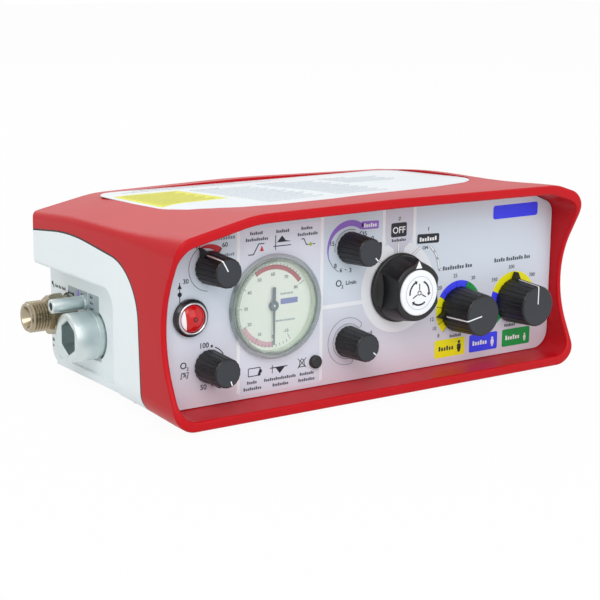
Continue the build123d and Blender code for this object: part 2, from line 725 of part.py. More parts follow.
def round_knob(at, points, kind):
    """A tapered control knob with a pointer at its skirt."""
    skirt, face, length = knob_size(kind)
    base = PANEL_FACE - KNOB_GAP
    face_y = base - length
    knob = cone_y(at, face, skirt, face_y, base)
    knob = chamfer(knob.edges().group_by(Axis.Y)[0], 0.5)
    knob -= flutes(at, kind, base - POINTER_DEPTH, face_y)
    knob += pointer_fin(at, skirt, base)
    return bored(turned(knob, at, points), at, base, face_y)


def mode_knob(at, points):
    """The big scalloped mode knob, with a seat for its cap."""
    base = PANEL_FACE - KNOB_GAP
    face_y = base - MODE_KNOB_LENGTH
    skirt_depth = 2.6
    grip_root = MODE_KNOB_RADIUS - 1.2
    knob = rod_y(at, MODE_KNOB_RADIUS, base - skirt_depth, base)
    knob += cone_y(at, MODE_GRIP_RADIUS, grip_root, face_y, base - skirt_depth)
    lean = math.degrees(math.atan2(grip_root - MODE_GRIP_RADIUS, MODE_KNOB_LENGTH - skirt_depth))
    reach = grip_root + MODE_SCALLOP_RADIUS - MODE_SCALLOP_DEPTH
    for step in range(MODE_SCALLOPS):
        angle = (step + 0.5) * 360 / MODE_SCALLOPS
        bar = rod_y((0, 0), MODE_SCALLOP_RADIUS, -2 * MODE_KNOB_LENGTH, 0)
        bar = Pos(0, base - skirt_depth, reach) * Rot(lean, 0, 0) * bar
        bar &= block((-20, 20), (face_y - 20, base - skirt_depth), (-20, 40))
        knob -= Pos(at[0], 0, at[1]) * Rot(0, angle, 0) * bar
    knob -= rod_y(at, MODE_CAP_RADIUS, face_y - 1, face_y + MODE_CAP_THICKNESS / 2)
    return bored(turned(knob, at, points), at, base, face_y)


def bored(knob, at, base, face_y):
    """A knob with the bore for its spindle and the recess over the panel nut."""
    nut_front = PANEL_FACE - BUSH_REACH
    knob -= rod_y(at, KNOB_RECESS, nut_front - 2 * KNOB_GAP, base + 5)
    return knob - rod_y(at, SPINDLE_RADIUS, face_y + KNOB_SOLID_FACE, base + 5)


def mode_knob_cap(at):
    """The pale disc set in the face of the mode knob."""
    face_y = PANEL_FACE - KNOB_GAP - MODE_KNOB_LENGTH
    seat = face_y + MODE_CAP_THICKNESS / 2
    cap = rod_y(at, MODE_CAP_RADIUS, seat - MODE_CAP_THICKNESS, seat)
    return fillet(cap.edges().group_by(Axis.Y)[0], 0.5)


def spindle(at, kind):
    """The steel spindle that a knob turns, running in the valve's bush."""
    face_y = PANEL_FACE - KNOB_GAP - knob_size(kind)[2]
    return rod_y(at, SPINDLE_RADIUS, face_y + KNOB_SOLID_FACE, PANEL_BACK + SPINDLE_SEAT)


def valve_body(at, kind):
    """A valve behind the panel, with the threaded bush that holds it there."""
    radius, length = valve_size(kind)
    step = 4.0
    body = rod_y(at, radius, PANEL_BACK, PANEL_BACK + length - step)
    body += rod_y(at, radius - 1.2, PANEL_BACK + length - step, PANEL_BACK + length)
    body += rod_y(at, BUSH_RADIUS, PANEL_FACE - BUSH_REACH, PANEL_BACK)
    end = PANEL_BACK + SPINDLE_SEAT + MOVING_GAP
    return body - rod_y(at, SPINDLE_RADIUS + FIT, PANEL_FACE - BUSH_REACH - 1, end)


def spindle_nuts():
    """The thin nuts on the bushes, hidden inside the knobs."""
    nuts = []
    for at, points, kind in CONTROLS.values():
        nut = hex_y(at, NUT_FLATS, PANEL_FACE - NUT_THICKNESS, PANEL_FACE)
        nuts.append(nut - rod_y(at, BUSH_RADIUS, PANEL_FACE - 5, PANEL_FACE + 1))
    return nuts


# ---------------------------------------------------------------- gauge
def gauge_case():
    """Cup of the pressure gauge, with a ledge that the dial lies on."""
    front = PANEL_FACE - GAUGE_PROUD + BEZEL_LIP
    back = PANEL_BACK + GAUGE_DEPTH
    bore = GAUGE_CASE_RADIUS - GAUGE_CASE_WALL
    cup = rod_y(GAUGE_AT, GAUGE_CASE_RADIUS, front, back)
    cup -= rod_y(GAUGE_AT, bore, front - 1, dial_back())
    return cup - rod_y(GAUGE_AT, bore - 1.0, front - 1, back - 2.0)


def dial_back():
    """Y of the back of the dial, which is the ledge in the gauge case."""
    return PANEL_FACE + 1.9


def gauge_bezel():
    """Ring over the front of the gauge that traps the lens."""
    front = PANEL_FACE - GAUGE_PROUD
    ring = rod_y(GAUGE_AT, GAUGE_RADIUS, front, PANEL_FACE)
    ring = fillet(ring.edges().group_by(Axis.Y)[0], 1.0)
    ring -= rod_y(GAUGE_AT, GAUGE_CASE_RADIUS - GAUGE_CASE_WALL, front - 1, PANEL_FACE + 1)
    return ring - rod_y(GAUGE_AT, GAUGE_CASE_RADIUS, lens_front(), PANEL_FACE + 1)


def lens_front():
    """Y of the front of the gauge lens."""
    return PANEL_FACE - GAUGE_PROUD + BEZEL_LIP - LENS_THICKNESS


def gauge_lens():
    """Clear disc held between the bezel and the gauge case."""
    return rod_y(GAUGE_AT, GAUGE_CASE_RADIUS, lens_front(), lens_front() + LENS_THICKNESS)


def gauge_dial():
    """Printed disc with a hole for the pointer's arbor."""
    radius = GAUGE_CASE_RADIUS - GAUGE_CASE_WALL
    disc = rod_y(GAUGE_AT, radius, dial_back() - DIAL_THICKNESS, dial_back())
    return disc - rod_y(GAUGE_AT, ARBOR_RADIUS + FIT, dial_back() - 5, dial_back() + 1)


def gauge_pointer():
    """Needle, tail, hub and arbor in one, pointing straight down at zero."""
    x, z = GAUGE_AT
    plane_y = dial_back() - DIAL_THICKNESS - 1.0
    blade = Polyline((-1.1, 0), (-1.1, TAIL_LENGTH), (1.1, TAIL_LENGTH), (1.1, 0), (0.3, -NEEDLE_LENGTH),
                     (-0.3, -NEEDLE_LENGTH), close=True)
    plane = Plane(origin=(x, plane_y, z), x_dir=(1, 0, 0), z_dir=(0, -1, 0))
    pointer = extrude(plane * make_face(blade), 0.5)
    pointer += rod_y(GAUGE_AT, 2.4, plane_y - 0.8, plane_y + 0.6)
    return pointer + rod_y(GAUGE_AT, ARBOR_RADIUS, plane_y, dial_back() + 8.0)


def gauge_capsule():
    """Pressure capsule and movement inside the gauge, which carries the arbor."""
    start = dial_back() + 1.5
    back = PANEL_BACK + GAUGE_DEPTH - 2.0
    body = rod_y(GAUGE_AT, 9.0, start, start + 8.0)
    body += rod_y(GAUGE_AT, 15.0, start + 8.0, back)
    return body - rod_y(GAUGE_AT, ARBOR_RADIUS + FIT, start - 1, dial_back() + 8.0 + MOVING_GAP)


# ---------------------------------------------------------------- indicator
def indicator_ring():
    """Black ring and tube of the pressure indicator."""
    front = PANEL_FACE - INDICATOR_PROUD
    ring = rod_y(INDICATOR_AT, INDICATOR_RADIUS, front, PANEL_FACE)
    ring = chamfer(ring.edges().group_by(Axis.Y)[0], 0.9)
    ring += rod_y(INDICATOR_AT, INDICATOR_TUBE_RADIUS, PANEL_FACE, PANEL_BACK + 13.0)
    ring -= rod_y(INDICATOR_AT, ROTOR_RADIUS + 0.6, front - 1, PANEL_BACK + 11.0)
    return ring - rod_y(INDICATOR_AT, ROTOR_RADIUS + 1.0, front - 1, front + 1.4)


def indicator_lens():
    """Shallow clear dome set in the ring."""
    x, z = INDICATOR_AT
    seat = PANEL_FACE - INDICATOR_PROUD + 1.4
    curve = 9.0
    dome = Pos(x, seat - 1.9 + curve, z) * Sphere(curve)
    dome -= Pos(x, seat - 1.1 + curve, z) * Sphere(curve)
    keep = rod_y(INDICATOR_AT, ROTOR_RADIUS + 1.0, seat - 4, seat)
    return dome & keep


def indicator_rotor():
    """Two-coloured ball on an upright pin that turns to show its red half."""
    x, z = INDICATOR_AT
    centre_y = PANEL_FACE + ROTOR_RADIUS - 0.6
    ball = Pos(x, centre_y, z) * Sphere(ROTOR_RADIUS)
    pin = Pos(x, centre_y, z) * Cylinder(0.6, 2 * ROTOR_RADIUS + 0.8)
    return ball + pin


# ---------------------------------------------------------------- button
def silence_button():
    """Push button with a collar that keeps it behind the panel."""
    head = rod_y(SILENCE_AT, BUTTON_RADIUS, PANEL_FACE - BUTTON_PROUD, PANEL_BACK + MOVING_GAP)
    head = fillet(head.edges().group_by(Axis.Y)[0], 0.8)
    collar_start = PANEL_BACK + MOVING_GAP
    head += rod_y(SILENCE_AT, BUTTON_RADIUS + 0.9, collar_start, collar_start + 1.0)
    return head + rod_y(SILENCE_AT, 1.5, collar_start + 1.0, collar_start + 6.0)


def snap_dome_y():
    """Y of the front of the snap disc that the button presses."""
    return PANEL_BACK + MOVING_GAP + 6.0 + BUTTON_TRAVEL + MOVING_GAP


def silence_snap_dome():
    """Thin snap disc between the button and its switch."""
    return rod_y(SILENCE_AT, 3.4, snap_dome_y(), snap_dome_y() + 0.4)


def silence_switch():
    """Switch on the alarm board behind the button."""
    x, z = SILENCE_AT
    return block((x - 4, x + 4), (snap_dome_y() + 0.4, BOARD_Y), (z - 4, z + 4))


# ---------------------------------------------------------------- ports
def gas_inlet_fitting():
    """Male threaded oxygen inlet with a hexagon and a coned mouth."""
    thread_end = INLET_MOUTH_X + 0.8 + INLET_THREAD_TURNS * INLET_THREAD_PITCH
    hex_start = thread_end + 1.2
    hex_end = hex_start + INLET_HEX_LENGTH
    outline = [(INLET_MOUTH_X, 0), (INLET_MOUTH_X, INLET_THREAD_ROOT)]
    for turn in range(INLET_THREAD_TURNS):
        x = INLET_MOUTH_X + 0.8 + turn * INLET_THREAD_PITCH
        outline.append((x, INLET_THREAD_ROOT))
        outline.append((x + 0.35 * INLET_THREAD_PITCH, INLET_THREAD_RADIUS))
        outline.append((x + 0.60 * INLET_THREAD_PITCH, INLET_THREAD_RADIUS))
    outline += [(thread_end, INLET_THREAD_ROOT), (hex_start, INLET_THREAD_ROOT)]
    outline += [(hex_start, 0)]
    y, z = INLET_AT
    plane = Plane(origin=(0, y, z), x_dir=(1, 0, 0), z_dir=(0, -1, 0))
    profile = plane * make_face(Polyline(*outline, close=True))
    fitting = revolve(profile, Axis((0, y, z), (1, 0, 0)))
    fitting += hex_x(INLET_AT, INLET_HEX_FLATS, hex_start, hex_end) & cone_x(
        INLET_AT, INLET_HEX_FLATS * 0.54, INLET_HEX_FLATS * 0.62, hex_start, hex_end
    )
    fitting += rod_x(INLET_AT, INLET_TAIL_RADIUS, hex_end, regulator_face())
    fitting -= cone_x(INLET_AT, INLET_CONE_RADIUS, INLET_BORE_RADIUS, INLET_MOUTH_X - 0.01, INLET_MOUTH_X + 4)
    return fitting - rod_x(INLET_AT, INLET_BORE_RADIUS, INLET_MOUTH_X, regulator_face() + 1)


def regulator_face():
    """X of the regulator's face that the inlet is screwed to."""
    return BAY_WALL_X + BAY_WALL + 0.5


def inlet_filter():
    """Sintered disc in the bore of the inlet."""
    return rod_x(INLET_AT, INLET_BORE_RADIUS, BAY_WALL_X - 2, BAY_WALL_X + 2)


def patient_outlet_port():
    """22 mm outside and 15 mm inside conical breathing connector."""
    flange = manifold_face() - OUTLET_FLANGE
    port = rod_x(OUTLET_AT, OUTLET_RADIUS, OUTLET_MOUTH_X, flange)
    port = chamfer(port.edges().group_by(Axis.X)[0], 0.5)
    port += rod_x(OUTLET_AT, OUTLET_RADIUS + OUTLET_CLEARANCE + HOLE_GAP, flange, manifold_face())
    port -= rod_x(OUTLET_AT, OUTLET_BORE_RADIUS, OUTLET_MOUTH_X - 1, OUTLET_MOUTH_X + OUTLET_BORE_DEPTH)
    return port - hex_x(OUTLET_AT, OUTLET_HEX_FLATS, OUTLET_MOUTH_X, manifold_face() + 1)


def manifold_face():
    """X of the manifold's face that the ports seat on."""
    return BAY_WALL_X + BAY_WALL + 3.6


def flow_outlet_spigot():
    """Small barbed spigot for the constant flow hose."""
    spigot = cone_x(SPIGOT_AT, SPIGOT_RADIUS - 0.5, SPIGOT_RADIUS, SPIGOT_MOUTH_X, SPIGOT_MOUTH_X + 2)
    collar = BAY_WALL_X - SPIGOT_COLLAR_PROUD
    spigot += rod_x(SPIGOT_AT, SPIGOT_RADIUS, SPIGOT_MOUTH_X + 2, collar)
    spigot += rod_x(SPIGOT_AT, SPIGOT_COLLAR_RADIUS, collar, manifold_face())
    return spigot - rod_x(SPIGOT_AT, SPIGOT_BORE_RADIUS, SPIGOT_MOUTH_X - 1, manifold_face() + 1)


# ---------------------------------------------------------------- inside
def inside_floor():
    """Z that blocks inside the case stand at, just clear of the moulded floor."""
    return CASE_FLOOR + CASE_FLOOR_WALL + HOLE_GAP / 2


def manifold_block():
    """Aluminium block that joins the ports to the valves."""
    front_y = OUTLET_AT[0] - OUTLET_RADIUS - 3.0
    back_y = min(SPIGOT_AT[0] + SPIGOT_COLLAR_RADIUS, INLET_AT[0] - REGULATOR_HALF_DEPTH) - HOLE_GAP
    x = manifold_face()
    return block((x, x + MANIFOLD_WIDTH), (front_y, back_y), (inside_floor(), MANIFOLD_TOP))


def regulator_body():
    """Supply pressure regulator standing on the floor behind the manifold."""
    y, z = INLET_AT
    x = regulator_face()
    depth_range = (y - REGULATOR_HALF_DEPTH, y + REGULATOR_HALF_DEPTH)
    body = block((x, x + REGULATOR_LENGTH), depth_range, (inside_floor(), REGULATOR_TOP))
    bonnet = Cylinder(BONNET_RADIUS, BONNET_HEIGHT)
    return body + Pos(x + REGULATOR_LENGTH / 2, y, REGULATOR_TOP + BONNET_HEIGHT / 2) * bonnet


def alarm_board():
    """Circuit board of the alarms, behind the gauge."""
    x_range, z_range = BOARD_SPAN
    board = block(x_range, (BOARD_Y, BOARD_Y + BOARD_THICKNESS), z_range)
    for at in board_corners():
        board -= rod_y(at, SPACER_PIN_RADIUS, BOARD_Y - 1, BOARD_Y + BOARD_THICKNESS + 1)
    return board


def board_corners():
    """Centres of the four spacers of the alarm board."""
    (x0, x1), (z0, z1) = BOARD_SPAN
    columns = (x0 + SPACER_INSET, x1 - SPACER_INSET)
    rows = (z0 + SPACER_INSET, z1 - SPACER_INSET)
    return [(x, z) for x in columns for z in rows]


def board_spacers():
    """Round spacers from the panel to the alarm board."""
    spacers = []
    for at in board_corners():
        spacer = rod_y(at, SPACER_RADIUS, PANEL_BACK, BOARD_Y)
        spacers.append(spacer + rod_y(at, SPACER_PIN_RADIUS, BOARD_Y, BOARD_Y + BOARD_THICKNESS))
    return spacers


def status_lamps():
    """Light pipes from the alarm board to the windows in the overlay."""
    start = PANEL_FACE + OVERLAY_THICKNESS
    return [rod_y(at, LAMP_RADIUS, start, BOARD_Y) for at in LAMP_PLACES]


def alarm_sounder():
    """Round sounder on the back of the alarm board."""
    (x0, x1), (z0, z1) = BOARD_SPAN
    at = ((x0 + x1) / 2, (z0 + z1) / 2)
    back = BOARD_Y + BOARD_THICKNESS
    sounder = rod_y(at, SOUNDER_RADIUS, back, back + SOUNDER_DEPTH)
    return sounder - rod_y(at, 1.6, back + SOUNDER_DEPTH - 2.0, back + SOUNDER_DEPTH + 1.0)


def battery_back():
    """Y of the back of the battery's body."""
    return CASE_DEPTH - CAP_THICKNESS - MOVING_GAP - CAP_PLUG_LENGTH - 1.6


def alarm_battery():
    """Round cell for the alarms, with its raised contact at the back."""
    back = battery_back()
    cell = rod_y(BATTERY_AT, BATTERY_RADIUS, back - BATTERY_LENGTH, back)
    return cell + rod_y(BATTERY_AT, 2.6, back, back + 1.2)


def battery_contact():
    """Contact plate across the front end of the battery well."""
    front = battery_back() - BATTERY_LENGTH
    return rod_y(BATTERY_AT, BATTERY_RADIUS + BATTERY_GAP, front - 1.2, front)


def battery_cap():
    """Coin-slotted cap that screws into the back of the battery well."""
    back = CASE_DEPTH - MOVING_GAP
    flange = rod_y(BATTERY_AT, CAP_RADIUS, back - CAP_THICKNESS, back)
    flange = fillet(flange.edges().group_by(Axis.Y)[-1], 0.6)
    plug = rod_y(BATTERY_AT, BATTERY_RADIUS, back - CAP_THICKNESS - CAP_PLUG_LENGTH, back - CAP_THICKNESS)
    x, z = BATTERY_AT
    slot = block((x - 6, x + 6), (back - 1.4, back + 1), (z - 0.9, z + 0.9))
    return flange + plug - slot


def pipe(points, bend):
    """A bent tube along straight runs with tangent arcs."""
    path = FilletPolyline(*points, radius=bend)
    start = Plane(origin=path @ 0, z_dir=path % 0)
    ring = Circle(PIPE_RADIUS) - Circle(PIPE_RADIUS - PIPE_WALL)
    return sweep(start * ring, path)


def supply_pipes():
    """Internal gas pipes between regulator, manifold and valves."""
    small_back = PANEL_BACK + SMALL_VALVE[1]
    large_back = PANEL_BACK + LARGE_VALVE[1]
    mode_back = PANEL_BACK + MODE_VALVE[1]
    from_regulator = regulator_face() + REGULATOR_LENGTH
    from_manifold = manifold_face() + MANIFOLD_WIDTH
    mode_z, rate_z, volume_z, peep_z = PIPE_HEIGHTS
    runs = [
        (from_regulator, INLET_AT[0], mode_z, MODE_AT[0], mode_back),
        (from_manifold, OUTLET_AT[0], rate_z, RATE_AT[0], large_back),
        (from_manifold, OUTLET_AT[0] - 8.0, volume_z, VOLUME_AT[0], large_back),
        (from_manifold, OUTLET_AT[0] - 11.0, peep_z, PEEP_AT[0], small_back),
    ]
    routes = [[(x, y, z), (to_x, y, z), (to_x, to_y, z)] for x, y, z, to_x, to_y in runs]
    return [pipe(points, PIPE_BEND) for points in routes]


# ---------------------------------------------------------------- assembly
def build():
    """Every sub-part by name, in the modelling frame."""
    shell = walls()
    parts = {
        "lower_case": lower_case(shell),
        "top_cover": top_cover(shell),
        "case_seal": case_seal(shell),
        "case_screws": case_screws(),
        "rubber_feet": rubber_feet(),
        "top_label": label_recess(-LABEL_GAP, 0.0, LABEL_THICKNESS),
        "front_panel": front_panel(),
        "panel_overlay": panel_overlay(),
        "panel_screws": panel_screws(),
        "spindle_nuts": spindle_nuts(),
        "mode_knob_cap": turned(mode_knob_cap(MODE_AT), MODE_AT, MODE_POINTS),
        "gauge_case": gauge_case(),
        "gauge_bezel": gauge_bezel(),
        "gauge_lens": gauge_lens(),
        "gauge_dial": gauge_dial(),
        "gauge_pointer": gauge_pointer(),
        "gauge_capsule": gauge_capsule(),
        "indicator_ring": indicator_ring(),
        "indicator_lens": indicator_lens(),
        "indicator_rotor": indicator_rotor(),
        "silence_button": silence_button(),
        "silence_snap_dome": silence_snap_dome(),
        "silence_switch": silence_switch(),
        "gas_inlet_fitting": gas_inlet_fitting(),
        "inlet_filter": inlet_filter(),
        "patient_outlet_port": patient_outlet_port(),
        "flow_outlet_spigot": flow_outlet_spigot(),
        "manifold_block": manifold_block(),
        "regulator_body": regulator_body(),
        "alarm_board": alarm_board(),
        "board_spacers": board_spacers(),
        "status_lamps": status_lamps(),
        "alarm_sounder": alarm_sounder(),
        "alarm_battery": alarm_battery(),
        "battery_contact": battery_contact(),
        "battery_cap": battery_cap(),
        "supply_pipes": supply_pipes(),
    }
    for name, (at, points, kind) in CONTROLS.items():
        make = mode_knob(at, points) if kind == "mode" else round_knob(at, points, kind)
        parts[name + "_knob"] = make
        parts[name + "_spindle"] = spindle(at, kind)
        parts[name + "_valve"] = valve_body(at, kind)
    return parts


def as_compound(shape):
    """One node's solids as a plain compound."""
    shapes = shape if isinstance(shape, list) else [shape]
    solids = [solid for piece in shapes for solid in piece.solids()]
    return Compound(children=solids)


def main():
    """Build the parts, set them about the origin and write one STEP file each."""
    nodes = {name: as_compound(shape) for name, shape in build().items()}
    whole = Compound(children=[Compound(node.wrapped) for node in nodes.values()])
    box = whole.bounding_box()
    shift = Pos(-(box.min.X + box.max.X) / 2, -(box.min.Y + box.max.Y) / 2, -box.min.Z)
    os.makedirs("parts", exist_ok=True)
    for name, node in nodes.items():
        export_step(shift * node, "parts/" + name + ".step")
    print("shift", shift.position)
    print("size", box.size)


main()
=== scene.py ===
"""Looks of a small gas-powered transport ventilator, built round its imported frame.

Lengths are metres in the frame's own axes: +X to the right, +Y to the back, +Z up.
Printing is drawn flat, in millimetres, and then laid on its surface as a thin film of ink.
Angles round a control are degrees clockwise from straight up, as seen from the front.
"""

import math
from contextlib import contextmanager

import bmesh
import bpy
from mathutils import Matrix, Vector
from mathutils.bvhtree import BVHTree


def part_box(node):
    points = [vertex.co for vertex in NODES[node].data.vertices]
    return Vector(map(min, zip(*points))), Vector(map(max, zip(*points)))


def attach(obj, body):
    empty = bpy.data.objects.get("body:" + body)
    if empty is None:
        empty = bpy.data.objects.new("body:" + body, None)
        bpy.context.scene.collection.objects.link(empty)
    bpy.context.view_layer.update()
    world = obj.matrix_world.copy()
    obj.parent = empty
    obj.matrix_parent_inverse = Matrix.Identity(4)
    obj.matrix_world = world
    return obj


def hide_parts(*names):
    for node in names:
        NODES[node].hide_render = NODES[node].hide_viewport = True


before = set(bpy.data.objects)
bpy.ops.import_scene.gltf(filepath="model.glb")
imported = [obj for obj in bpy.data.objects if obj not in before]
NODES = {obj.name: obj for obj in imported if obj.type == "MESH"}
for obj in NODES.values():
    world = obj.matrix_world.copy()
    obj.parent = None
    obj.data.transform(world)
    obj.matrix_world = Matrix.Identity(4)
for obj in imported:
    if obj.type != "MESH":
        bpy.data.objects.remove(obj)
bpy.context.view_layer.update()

MM = 0.001
INK = 0.03                  # mm, thickness of one film of ink
RING_INNER = 9.8            # mm, inner radius of the coloured rings round the large knobs

CONTROLS = ["alarm_pressure", "oxygen_mix", "flow", "peep", "mode", "rate", "volume"]
# the way each knob points at rest
POINTS = dict(alarm_pressure=-30, oxygen_mix=160, flow=135, peep=130, mode=0, rate=-100, volume=0)


# ---------------------------------------------------------------- places
def middle(node):
    """Middle of a CAD node's box."""
    low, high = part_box(node)
    return (low + high) / 2


def surface(origin, right, up):
    """Matrix that lays a drawing in millimetres on a surface: X right, Y up, Z out of it."""
    right = Vector(right).normalized()
    up = Vector(up).normalized()
    turn = Matrix((right, up, right.cross(up))).transposed()
    return Matrix.Translation(origin) @ turn.to_4x4() @ Matrix.Scale(MM, 4)


def facing_front(node, depth):
    """Surface in line with a node's middle, at a depth on Y, looking out to the front."""
    spot = middle(node)
    return surface((spot.x, depth, spot.z), (1, 0, 0), (0, 0, 1))


def facing_left(node):
    """Surface on the wall of the connector bay, level with a node, looking out to the left."""
    spot = middle(node)
    return surface((COVER_LOW.x + BAY_DEPTH * MM, spot.y, spot.z), (0, -1, 0), (0, 0, 1))


def on_panel(node):
    """Middle of a node in the panel's drawing millimetres."""
    offset = (middle(node) - PANEL_ORIGIN) / MM
    return Vector((offset.x, offset.z))


def polar(centre, radius, angle):
    """The point at an angle, clockwise from straight up, round a centre."""
    turn = math.radians(angle)
    return Vector(centre) + radius * Vector((math.sin(turn), math.cos(turn)))


COVER_LOW, COVER_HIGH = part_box("top_cover")
BAY_DEPTH = 9.5             # mm, from the cover's left side to the wall of its connector bay
PANEL_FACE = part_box("panel_overlay")[0].y
# drawings on the panel are measured from the middle of the case and the foot of the hood
PANEL_ORIGIN = Vector(((COVER_LOW.x + COVER_HIGH.x) / 2, PANEL_FACE, COVER_LOW.z))
PANEL = surface(PANEL_ORIGIN, (1, 0, 0), (0, 0, 1))
CENTRES = {name: on_panel(name + "_spindle") for name in CONTROLS}


# ---------------------------------------------------------------- nodes and colours
def colour(hex_value):
    """Linear colour from sRGB hex."""
    parts = [int(hex_value[i:i + 2], 16) / 255 for i in (0, 2, 4)]
    linear = [p / 12.92 if p <= 0.04045 else ((p + 0.055) / 1.055) ** 2.4 for p in parts]
    return (*linear, 1.0)


def add(tree, kind, inputs=None, **settings):
    """Adds one node with its own settings, and sets or links its inputs.

    An input is a value, a socket, or another node, which stands for its first output.
    """
    made = tree.nodes.new("ShaderNode" + kind)
    for name, value in settings.items():
        setattr(made, name, value)
    for socket, value in (inputs or {}).items():
        if isinstance(value, bpy.types.Node):
            value = value.outputs[0]
        if isinstance(value, bpy.types.NodeSocket):
            tree.links.new(value, made.inputs[socket])
        else:
            made.inputs[socket].default_value = value
    return made


def material(look):
    """Turns a look, which builds a shader in a node tree, into a maker of named materials."""
    def make(name, *details, **more):
        made = bpy.data.materials.new(name)
        made.use_nodes = True
        tree = made.node_tree
        tree.nodes.clear()
        place = add(tree, "TexCoord").outputs["Object"]
        add(tree, "OutputMaterial", {"Surface": look(tree, place, *details, **more)})
        return made
    return make


# ---------------------------------------------------------------- kinds of finish
@material
def moulded(tree, place, first, second, roughness, uneven=0.06, cloud_mm=12, contrast=1.0,
            grain_mm=0.5, strength=0.15, depth_mm=0.04, ior=1.5, specular=0.5):
    """Moulded plastic or rubber, or smooth paint: two close tones in soft clouds.

    The mould's spark-eroded grain breaks up the gloss and the surface. The real grain is about
    a tenth of a millimetre, and it is drawn a few times coarser so that it shows.
    """
    cloud = add(tree, "TexNoise", {"Vector": place, "Scale": 1 / (cloud_mm * MM)})
    grain = add(tree, "TexNoise", {"Vector": place, "Scale": 1 / (grain_mm * MM), "Detail": 3})
    share = add(tree, "MapRange", {
        "Value": cloud, "To Min": 0.5 - contrast / 2, "To Max": 0.5 + contrast / 2,
    })
    tone = add(tree, "MixRGB", {"Fac": share, "Color1": colour(first), "Color2": colour(second)})
    gloss = add(tree, "MapRange", {
        "Value": grain, "To Min": roughness - uneven, "To Max": roughness + uneven,
    })
    relief = add(tree, "Bump", {
        "Height": grain, "Strength": strength, "Distance": depth_mm * MM,
    })
    return add(tree, "BsdfPrincipled", {
        "Base Color": tone, "Roughness": gloss, "Normal": relief,
        "IOR": ior, "Specular IOR Level": specular,
    })


@material
def metal(tree, place, first, second, roughness, lay, line_mm=0.12):
    """Turned or brushed metal: the tool's fine lines run along one axis and draw out its gloss.

    Real lines are a few hundredths of a millimetre wide, and are drawn coarser so that they show.
    """
    stretch = [0.04 if axis == lay else 1.0 for axis in "XYZ"]
    lined = add(tree, "Mapping", {"Vector": place, "Scale": stretch})
    brush = add(tree, "TexNoise", {"Vector": lined, "Scale": 1 / (line_mm * MM)})
    cloud = add(tree, "TexNoise", {"Vector": place, "Scale": 1 / (5 * MM)})
    tone = add(tree, "MixRGB", {"Fac": cloud, "Color1": colour(first), "Color2": colour(second)})
    gloss = add(tree, "MapRange", {
        "Value": brush, "To Min": roughness - 0.07, "To Max": roughness + 0.09,
    })
    relief = add(tree, "Bump", {"Height": brush, "Strength": 0.10, "Distance": 0.02 * MM})
    return add(tree, "BsdfPrincipled", {
        "Base Color": tone, "Metallic": 1.0, "Roughness": gloss, "Normal": relief,
    })


@material
def printed_film(tree, place, first, second, cloud_mm, roughness=0.4):
    """Satin polyester film, printed in two soft tones that run into each other.

    Its faint orange peel is finer in reality, and is drawn at 0.3 mm so that it shows.
    """
    cloud = add(tree, "TexNoise", {"Vector": place, "Scale": 1 / (cloud_mm * MM), "Detail": 1})
    peel = add(tree, "TexNoise", {"Vector": place, "Scale": 1 / (0.3 * MM)})
    share = add(tree, "MapRange", {"Value": cloud, "To Min": -0.6, "To Max": 1.6})
    tone = add(tree, "MixRGB", {"Fac": share, "Color1": colour(first), "Color2": colour(second)})
    relief = add(tree, "Bump", {"Height": peel, "Strength": 0.05, "Distance": 0.02 * MM})
    return add(tree, "BsdfPrincipled", {
        "Base Color": tone, "Roughness": roughness, "Normal": relief, "IOR": 1.45,
    })


@material
def overlay_film(tree, place):
    """Satin silver film, cool at the top, with a painted reflection of the red hood floor that
    warms it to a faint rose at its foot.
    """
    height = add(tree, "SeparateXYZ", {"Vector": place}).outputs["Z"]
    cloud = add(tree, "TexNoise", {"Vector": place, "Scale": 1 / (55 * MM), "Detail": 1})
    # painted reflection of the red hood floor: the film turns rose towards its foot
    hood_reflection_share = add(tree, "MapRange", {"Value": height, "From Min": 8 * MM, "From Max": 55 * MM})
    upper = add(tree, "MixRGB", {
        "Fac": cloud, "Color1": colour("ccdbe7"), "Color2": colour("d2dbe7"),
    })
    tone = add(tree, "MixRGB", {"Fac": hood_reflection_share, "Color1": colour("d6d0dc"), "Color2": upper})
    return add(tree, "BsdfPrincipled", {"Base Color": tone, "Roughness": 0.42, "IOR": 1.45})


@material
def ink(tree, place, hex_value, roughness):
    """Screen-printed ink: one satin colour, a shade darker in patches where it lies thicker."""
    uneven = add(tree, "TexNoise", {"Vector": place, "Scale": 1 / (1.5 * MM)})
    full = colour(hex_value)
    thick = [0.94 * part for part in full]
    tone = add(tree, "MixRGB", {"Fac": uneven, "Color1": full, "Color2": thick})
    return add(tree, "BsdfPrincipled", {
        "Base Color": tone, "Roughness": roughness, "Specular IOR Level": 0.25,
    })


@material
def clear_window(tree, place):
    """Flat cast acrylic: light passes straight through, with a gloss that grows at a slant."""
    haze = add(tree, "TexNoise", {"Vector": place, "Scale": 1 / (6 * MM), "Detail": 4})
    slant = add(tree, "Fresnel", {"IOR": 1.45})
    share = add(tree, "Math", {0: slant, 1: 0.55}, operation="MULTIPLY")
    smear = add(tree, "MapRange", {"Value": haze, "To Min": 0.03, "To Max": 0.08})
    gloss = add(tree, "BsdfGlossy", {"Color": colour("f4f7f7"), "Roughness": smear})
    through = add(tree, "BsdfTransparent", {"Color": colour("fbfdfb")})
    return add(tree, "MixShader", {"Fac": share, 1: through, 2: gloss})


@material
def clear_rim(tree, place):
    """Clear moulded ring: see-through from straight on, and its steep walls read as grey lines."""
    haze = add(tree, "TexNoise", {"Vector": place, "Scale": 1 / (6 * MM), "Detail": 4})
    steep = add(tree, "LayerWeight", {"Blend": 0.42}).outputs["Facing"]
    smear = add(tree, "MapRange", {"Value": haze, "To Min": 0.08, "To Max": 0.14})
    wall = add(tree, "BsdfPrincipled", {
        "Base Color": colour("aab2b6"), "Roughness": smear, "IOR": 1.49,
    })
    through = add(tree, "BsdfTransparent", {"Color": colour("f6f9f7")})
    return add(tree, "MixShader", {"Fac": steep, 1: through, 2: wall})


